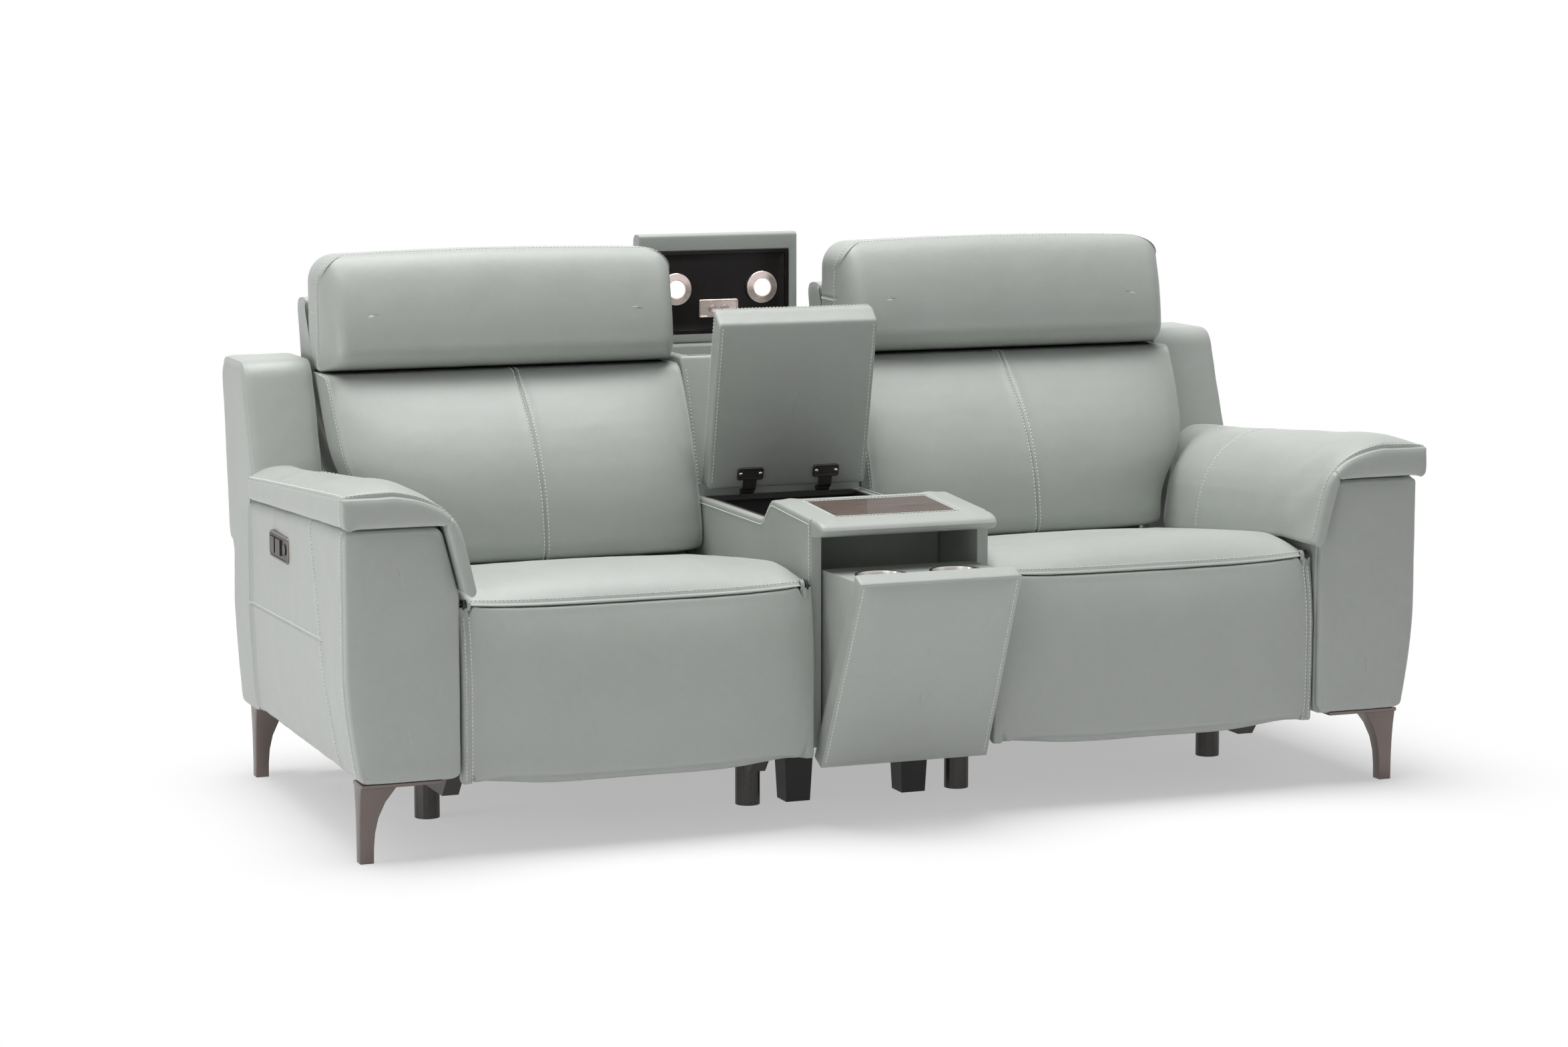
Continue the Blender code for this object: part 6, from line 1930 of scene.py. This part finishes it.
@dataclass
class CupDrawer:
    """Tilting drawer with its padded front and two cup holders."""

    shop: Workshop
    body: str = "cup_drawer"
    halves: tuple[float, float] = (0.158, 0.150)
    low: float = 0.126
    top: float = 0.5070
    front_half: float = 0.154
    lining_half: tuple[float, float] = (0.1465, 0.074)
    lining_middle: tuple[float, float] = (0.200, 0.435)
    cup_radius: float = 0.0435
    cup_flange: float = 0.0475
    cup_depth: float = 0.062

    def build(self) -> None:
        """Builds the drawer, its front and its cups."""
        self.turn = self.shop.layout.opened("cup_drawer_tilt")
        self.shop.pads.append(self.front())
        self.lining()
        self.shop.add("drawer_box", self.shop.softened("cup_drawer", 2.5 * MM), SAGE, self.body, ("cup_drawer",))
        for side in Side:
            self.cup(side)

    def lining(self) -> None:
        """Covered wall behind the drawer, under the tray."""
        (wide, tall), (depth, middle) = self.lining_half, self.lining_middle
        rows = []
        for inset, out in ((60, 6), (0, 6), (0, 1), (1, 0), (5, -0.6), (20, -1.5), (60, -2.0)):
            ring = rounded_ring((wide - inset * MM, tall - inset * MM), 4 * MM, (12, 4, 20))
            rows.append(np.column_stack([ring[:, 0], np.full(len(ring), depth + out * MM), middle + ring[:, 1]]))
        self.shop.solid("drawer_lining", np.array(rows), SAGE, "frame", fill=0.4)

    def half_width(self, z: Array) -> Array:
        """Half the front's width at a height."""
        return self.halves[0] + (self.halves[1] - self.halves[0]) * (z - self.low) / (self.top - self.low)

    def front(self) -> Pad:
        """Padded front panel, drawn shut.

        Returns:
            The pad before it is filled.
        """
        tall = (self.top - self.low) / 2
        steps = (
            (0.153, 0.030), (0.130, 0.030), (0.100, 0.030), (0.060, 0.030), (0.020, 0.030), (4 * MM, 0.029),
            (0.5 * MM, 0.026), (0.0, 0.020), (0.0, 0.012), (0.0, 2 * MM), (0.6 * MM, -1.4 * MM),
            (2 * MM, -3.0 * MM), (5 * MM, -4.0 * MM), (0.016, -5.2 * MM), (0.030, -6.5 * MM), (0.045, -7.2 * MM),
            (0.062, -7.8 * MM), (0.080, -8.2 * MM), (0.100, -8.4 * MM), (0.120, -8.5 * MM), (0.140, -8.6 * MM),
            (0.150, -8.6 * MM), (0.1535, -8.6 * MM),
        )
        rows = []
        for inset, y in steps:
            ring = rounded_ring((tall - inset, self.front_half - inset), 4 * MM + 0.2 * inset, (24, 7, 44))
            z = (self.low + self.top) / 2 + ring[:, 0]
            rows.append(np.column_stack([ring[:, 1] / self.front_half * self.half_width(z), np.full(len(z), y), z]))
        rings = np.array(rows)
        held = np.zeros(rings.shape[:2], bool)
        held[:13] = True
        for side in Side:
            z = np.linspace(self.low + 0.010, self.top - 0.007, 60)
            line = np.column_stack([side.value * (self.half_width(z) - 7 * MM), np.full(len(z), -4.4 * MM), z])
            self.shop.sewing.row(self.body, line, np.tile((0.0, -1.0, 0.0), (len(z), 1)), self.turn)
        return Pad("drawer_front", self.body, (), rings, held, [], 0.45, 3.0, cap=4 * MM, finer=(2, 1),
                   turn=self.turn)

    def cup(self, side: Side) -> None:
        """Spun cup holder with a rolled rim and a mat.

        Args:
            side: Which of the two cups.
        """
        name = "cup_holder_" + side.label
        low, high = self.shop.layout.box(name)
        x = side.value * (low[0] + high[0]) / 2
        place = Matrix.Translation((x, (low[1] + high[1]) / 2, high[2] - 1.6 * MM))
        inner, deep = self.cup_radius - 1.4 * MM, -self.cup_depth
        cup, mat = Clay(), Clay()
        cup.turned([
            (0, deep), (self.cup_radius - 4 * MM, deep), (self.cup_radius - 1 * MM, deep + 1.5 * MM),
            (self.cup_radius, deep + 5 * MM), (self.cup_radius, 0), (self.cup_flange - 0.6 * MM, 0),
            (self.cup_flange, 0.6 * MM), (self.cup_flange - 0.5 * MM, 1.4 * MM),
            (self.cup_flange - 2 * MM, 1.9 * MM), (inner + 1.6 * MM, 1.7 * MM), (inner + 0.4 * MM, 1.0 * MM),
            (inner, -0.6 * MM), (inner, deep + 6 * MM), (inner - 1.2 * MM, deep + 3 * MM),
            (inner - 4 * MM, deep + 1.4 * MM), (0, deep + 1.4 * MM),
        ], place, 64)
        self.shop.add("cup_" + side.label, cup.mesh("cup", 45.0), STEEL, self.body, (name,))
        rings = ((0, 0), (36, 0), (36, 1.6), (35, 2.2), (28, 2.2), (27, 1.5), (20, 1.5), (19, 2.2), (0, 2.2))
        mat.turned([(r * MM, deep + (1.5 + up) * MM) for r, up in rings], place, 48)
        self.shop.add("cup_mat_" + side.label, mat.mesh("mat", 45.0), BLACK, self.body)


@dataclass
class LightLid:
    """Lid with reading lamps on its inner face."""

    shop: Workshop
    body: str = "light_lid"
    lamp_x: float = 0.089
    lamp_out: float = 0.098
    lamp_radius: float = 0.032
    lens_radius: float = 0.0166
    plate_out: float = 0.0585
    plate_half: tuple[float, float, float] = (0.0405, 0.0, 0.0175)
    button_x: float = 0.0125
    button_radius: float = 0.0073

    def build(self) -> None:
        """Builds the lid, its panel, lamps and buttons."""
        self.shop.add("light_lid_cover", self.shop.softened("light_lid", 7 * MM, 4), SAGE, self.body, ("light_lid",))
        low, high = self.shop.layout.box("light_panel")
        pivot = self.shop.layout.joints["light_lid_hinge"]["pos_m"]
        middle, half = (low + high) / 2, (high - low) / 2
        back = high[1]
        steps = ((60, 0.2), (0, 0.2), (0, -4.5), (0.8, -5.4), (7, -5.4), (7.8, -4.6), (8.4, -1.4), (10, -0.9),
                 (24, -0.9), (60, -0.9))
        rings = self.plate(middle, half, 6 * MM, back, steps)
        self.shop.solid("lamp_panel", rings, GLOSS, self.body, ("light_panel",))
        steps = ((14, 0), (0, 0), (0, -5.6), (0.7, -6.3), (2.4, -6.3), (3.4, -5.2), (8, -5.2), (14, -5.2))
        centre = np.array((0.0, 0.0, pivot[2] + self.plate_out))
        rings = self.plate(centre, np.array(self.plate_half), 3 * MM, back, steps)
        self.shop.solid("button_plate", rings, ROSE, self.body)
        for side in Side:
            self.lamp(side, back - 0.9 * MM, pivot[2] + self.lamp_out)
            self.button(side)

    @staticmethod
    def plate(middle: Array, half: Array, radius: float, back: float, steps: Sequence[tuple[float, float]]) -> Array:
        """Stepped plate that faces the front.

        Args:
            middle: Its middle.
            half: Half its size.
            radius: Radius of its corners.
            back: Depth of its back.
            steps: Inset and depth of each step, in millimetres.

        Returns:
            Its rings.
        """
        rows = []
        for inset, out in steps:
            corner = max(radius - inset * MM, 1 * MM)
            ring = rounded_ring((half[0] - inset * MM, half[2] - inset * MM), corner, (6, 5, 20))
            rows.append(np.column_stack([middle[0] + ring[:, 0], np.full(len(ring), back + out * MM),
                                         middle[2] + ring[:, 1]]))
        return np.array(rows)

    def lamp(self, side: Side, y: float, z: float) -> None:
        """Lamp ring with its lens.

        Args:
            side: Which of the two lamps.
            y: Depth of the panel's face.
            z: Height of the lamp's middle.
        """
        place = Matrix.Translation((side.value * self.lamp_x, y, z)) @ Matrix.Rotation(math.radians(90.0), 4, "X")
        r = self.lamp_radius
        ring, lens = Clay(), Clay()
        ring.turned([(0, -1 * MM), (r, -1 * MM), (r, 7 * MM), (r - 1 * MM, 9.4 * MM), (r - 2.5 * MM, 10.2 * MM),
                     (r - 12 * MM, 10.2 * MM), (r - 13.2 * MM, 11 * MM), (r - 14.4 * MM, 10.6 * MM),
                     (r - 15 * MM, 6 * MM), (0, 6 * MM)], place, 64)
        self.shop.add("lamp_ring_" + side.label, ring.mesh("lamp_ring", 45.0), ROSE, self.body, ("lamp_" + side.label,))
        edge = self.lens_radius
        lens.turned([(0, 5 * MM), (edge, 5 * MM), (edge, 8.0 * MM), (edge - 1 * MM, 8.8 * MM), (0.010, 9.4 * MM),
                     (0, 9.6 * MM)], place, 48)
        self.shop.add("lamp_lens_" + side.label, lens.mesh("lamp_lens"), LAMP, self.body)

    def button(self, side: Side) -> None:
        """Round push button with a dished top.

        Args:
            side: Which of the two buttons.
        """
        name = "light_" + side.label + "_button"
        low, high = self.shop.layout.box(name)
        middle = (low + high) / 2
        place = Matrix.Translation((side.value * self.button_x, high[1], middle[2]))
        place = place @ Matrix.Rotation(math.radians(90.0), 4, "X")
        deep, r = high[1] - low[1], self.button_radius
        knob = Clay()
        knob.turned([(0, 0), (r, 0), (r, deep - 0.8 * MM), (r - 0.6 * MM, deep), (r - 1.8 * MM, deep),
                     (r - 2.6 * MM, deep - 0.6 * MM), (0, deep - 0.9 * MM)], place, 32)
        self.shop.add("button_" + side.label, knob.mesh("button", 45.0), ROSE, name, (name,))


@dataclass
class Studio:
    """Camera, light, floor and background."""

    layout: Layout
    eye: tuple[float, float, float] = (-2.647, -6.191, 1.462)
    tilt: float = 7.8806
    turn: float = 21.3094
    lens: float = 89.55
    floor_size: float = 60.0
    floor_glow: float = 0.44
    shade_middle: Colour = (0.06, 0.0, 0.0)
    shade_half: Colour = (0.88, 0.36, 0.0)
    shade_fade: tuple[float, float] = (0.0, 0.50)
    ambient: float = 0.155

    def build(self) -> None:
        """Sets up the whole studio."""
        self.camera()
        self.lamps()
        self.world()
        self.floor()
        bpy.context.scene.view_settings.view_transform = "Standard"

    def camera(self) -> None:
        """Camera at the photograph's place."""
        data = bpy.data.cameras.new("camera")
        data.lens = self.lens
        data.sensor_width = 36.0
        data.clip_end = 200.0
        camera = bpy.data.objects.new("camera", data)
        camera.location = Vector(self.eye) + Vector(self.layout.shift)
        camera.rotation_euler = (math.radians(90.0 - self.tilt), 0.0, math.radians(-self.turn))
        bpy.context.scene.collection.objects.link(camera)
        bpy.context.scene.camera = camera

    def lamps(self) -> None:
        """Large soft boxes above the front, low at the left, and a weak one in front."""
        boxes = (
            ("box_above", (-0.3, 0.45, 6.0), (0.0, 0.0, 0.3), 4.4, 425.0),
            ("box_left", (-3.2, -0.3, 0.40), (-1.0, 0.0, 0.4), 1.0, 17.0),
            ("box_front", (-3.4, -4.2, 1.5), (-0.3, 0.0, 0.35), 2.5, 18.0),
        )
        for name, place, aim, size, power in boxes:
            data = bpy.data.lights.new(name, "AREA")
            data.shape = "SQUARE"
            data.size = size
            data.energy = power
            lamp = bpy.data.objects.new(name, data)
            lamp.location = place
            lamp.rotation_euler = (Vector(aim) - Vector(place)).to_track_quat("-Z", "Y").to_euler()
            bpy.context.scene.collection.objects.link(lamp)

    def seen(self, tree: Tree) -> Value:
        """1 for rays that show the background: from the camera, off gloss and through glass.

        Args:
            tree: Nodes that it is added to.

        Returns:
            The value.
        """
        camera, glossy, through = (tree.add("ShaderNodeLightPath", output=name)
                                   for name in ("Is Camera Ray", "Is Glossy Ray", "Is Transmission Ray"))
        return (camera + glossy + through).ramp(0.0, 1.0)

    def world(self) -> None:
        """White background for the camera and reflections, and a soft level of light for the rest."""
        world = bpy.data.worlds.new("studio")
        bpy.context.scene.world = world
        tree = Tree(world)
        seen = self.seen(tree)
        strength = self.ambient + seen * (1.0 - self.ambient)
        shade = tree.add("ShaderNodeBackground", None, {"Color": (1.0, 1.0, 1.0, 1.0), "Strength": strength})
        tree.add("ShaderNodeOutputWorld", None, {"Surface": shade})

    def floor(self) -> None:
        """Pale floor that keeps the shadow near the object and turns white away from it."""
        size = self.floor_size
        clay = Clay()
        clay.add(np.array([(-size, -size, 0), (size, -size, 0), (size, size, 0), (-size, size, 0)]), [(0, 1, 2, 3)])
        floor = bpy.data.objects.new("floor", clay.mesh("floor"))
        bpy.context.scene.collection.objects.link(floor)
        made = bpy.data.materials.new("pale floor")
        tree = Tree(made)
        where = tree.place((1.0, 1.0, 0.0))
        for operation, amount in (("SUBTRACT", self.shade_middle), ("ABSOLUTE", None), ("SUBTRACT", self.shade_half),
                                  ("MAXIMUM", (0.0, 0.0, 0.0))):
            sockets = {0: where} if amount is None else {0: where, 1: amount}
            where = tree.add("ShaderNodeVectorMath", {"operation": operation}, sockets)
        away = tree.add("ShaderNodeVectorMath", {"operation": "LENGTH"}, {0: where}, "Value")
        patches = tree.cloud(tree.place(), 3.0, 2.0)
        near = tree.add("ShaderNodeBsdfPrincipled", None, {
            "Base Color": tree.mix(patches, (0.90, 0.90, 0.90), (0.92, 0.92, 0.92)), "Roughness": 0.9,
            "Specular IOR Level": 0.0,
        })
        far = tree.add("ShaderNodeEmission", None, {"Color": (1.0, 1.0, 1.0, 1.0)})
        glow = self.floor_glow + away.ramp(*self.shade_fade) * (1.0 - self.floor_glow)
        mixed = tree.add("ShaderNodeMixShader", None, {0: glow * self.seen(tree), 1: near, 2: far})
        tree.add("ShaderNodeOutputMaterial", None, {"Surface": mixed})
        floor.data.materials.append(made)


def dress_nodes(layout: Layout) -> None:
    """Gives every carried-over node the finish of its slot.

    Args:
        layout: Places of the frame's nodes.
    """
    finishes = {finish.slot: finish for finish in FINISHES}
    painted = {"seat_frame": BLACK, "footrest_board": SAGE, "home_button": IRON, "back_rocker": IRON,
               "head_rocker": IRON}
    for name, node in layout.nodes.items():
        slot = node.data.materials[0].name.split(".")[0]
        finish = painted.get(name.split("_", 1)[-1], finishes[slot])
        node.data.materials.clear()
        node.data.materials.append(finish.material())


def main() -> None:
    """Builds the scene."""
    logging.basicConfig(level=logging.INFO, format="%(message)s")
    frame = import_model()
    layout = Layout(frame)
    Studio(layout).build()
    dress_nodes(layout)
    shop = Workshop(layout)
    for side in Side:
        Seat(shop, side).build()
        Arm(shop, side).build()
    for assembly in (Console, StorageLid, CupDrawer, LightLid):
        assembly(shop).build()
    shop.finish()


if __name__ == "__main__":
    main()
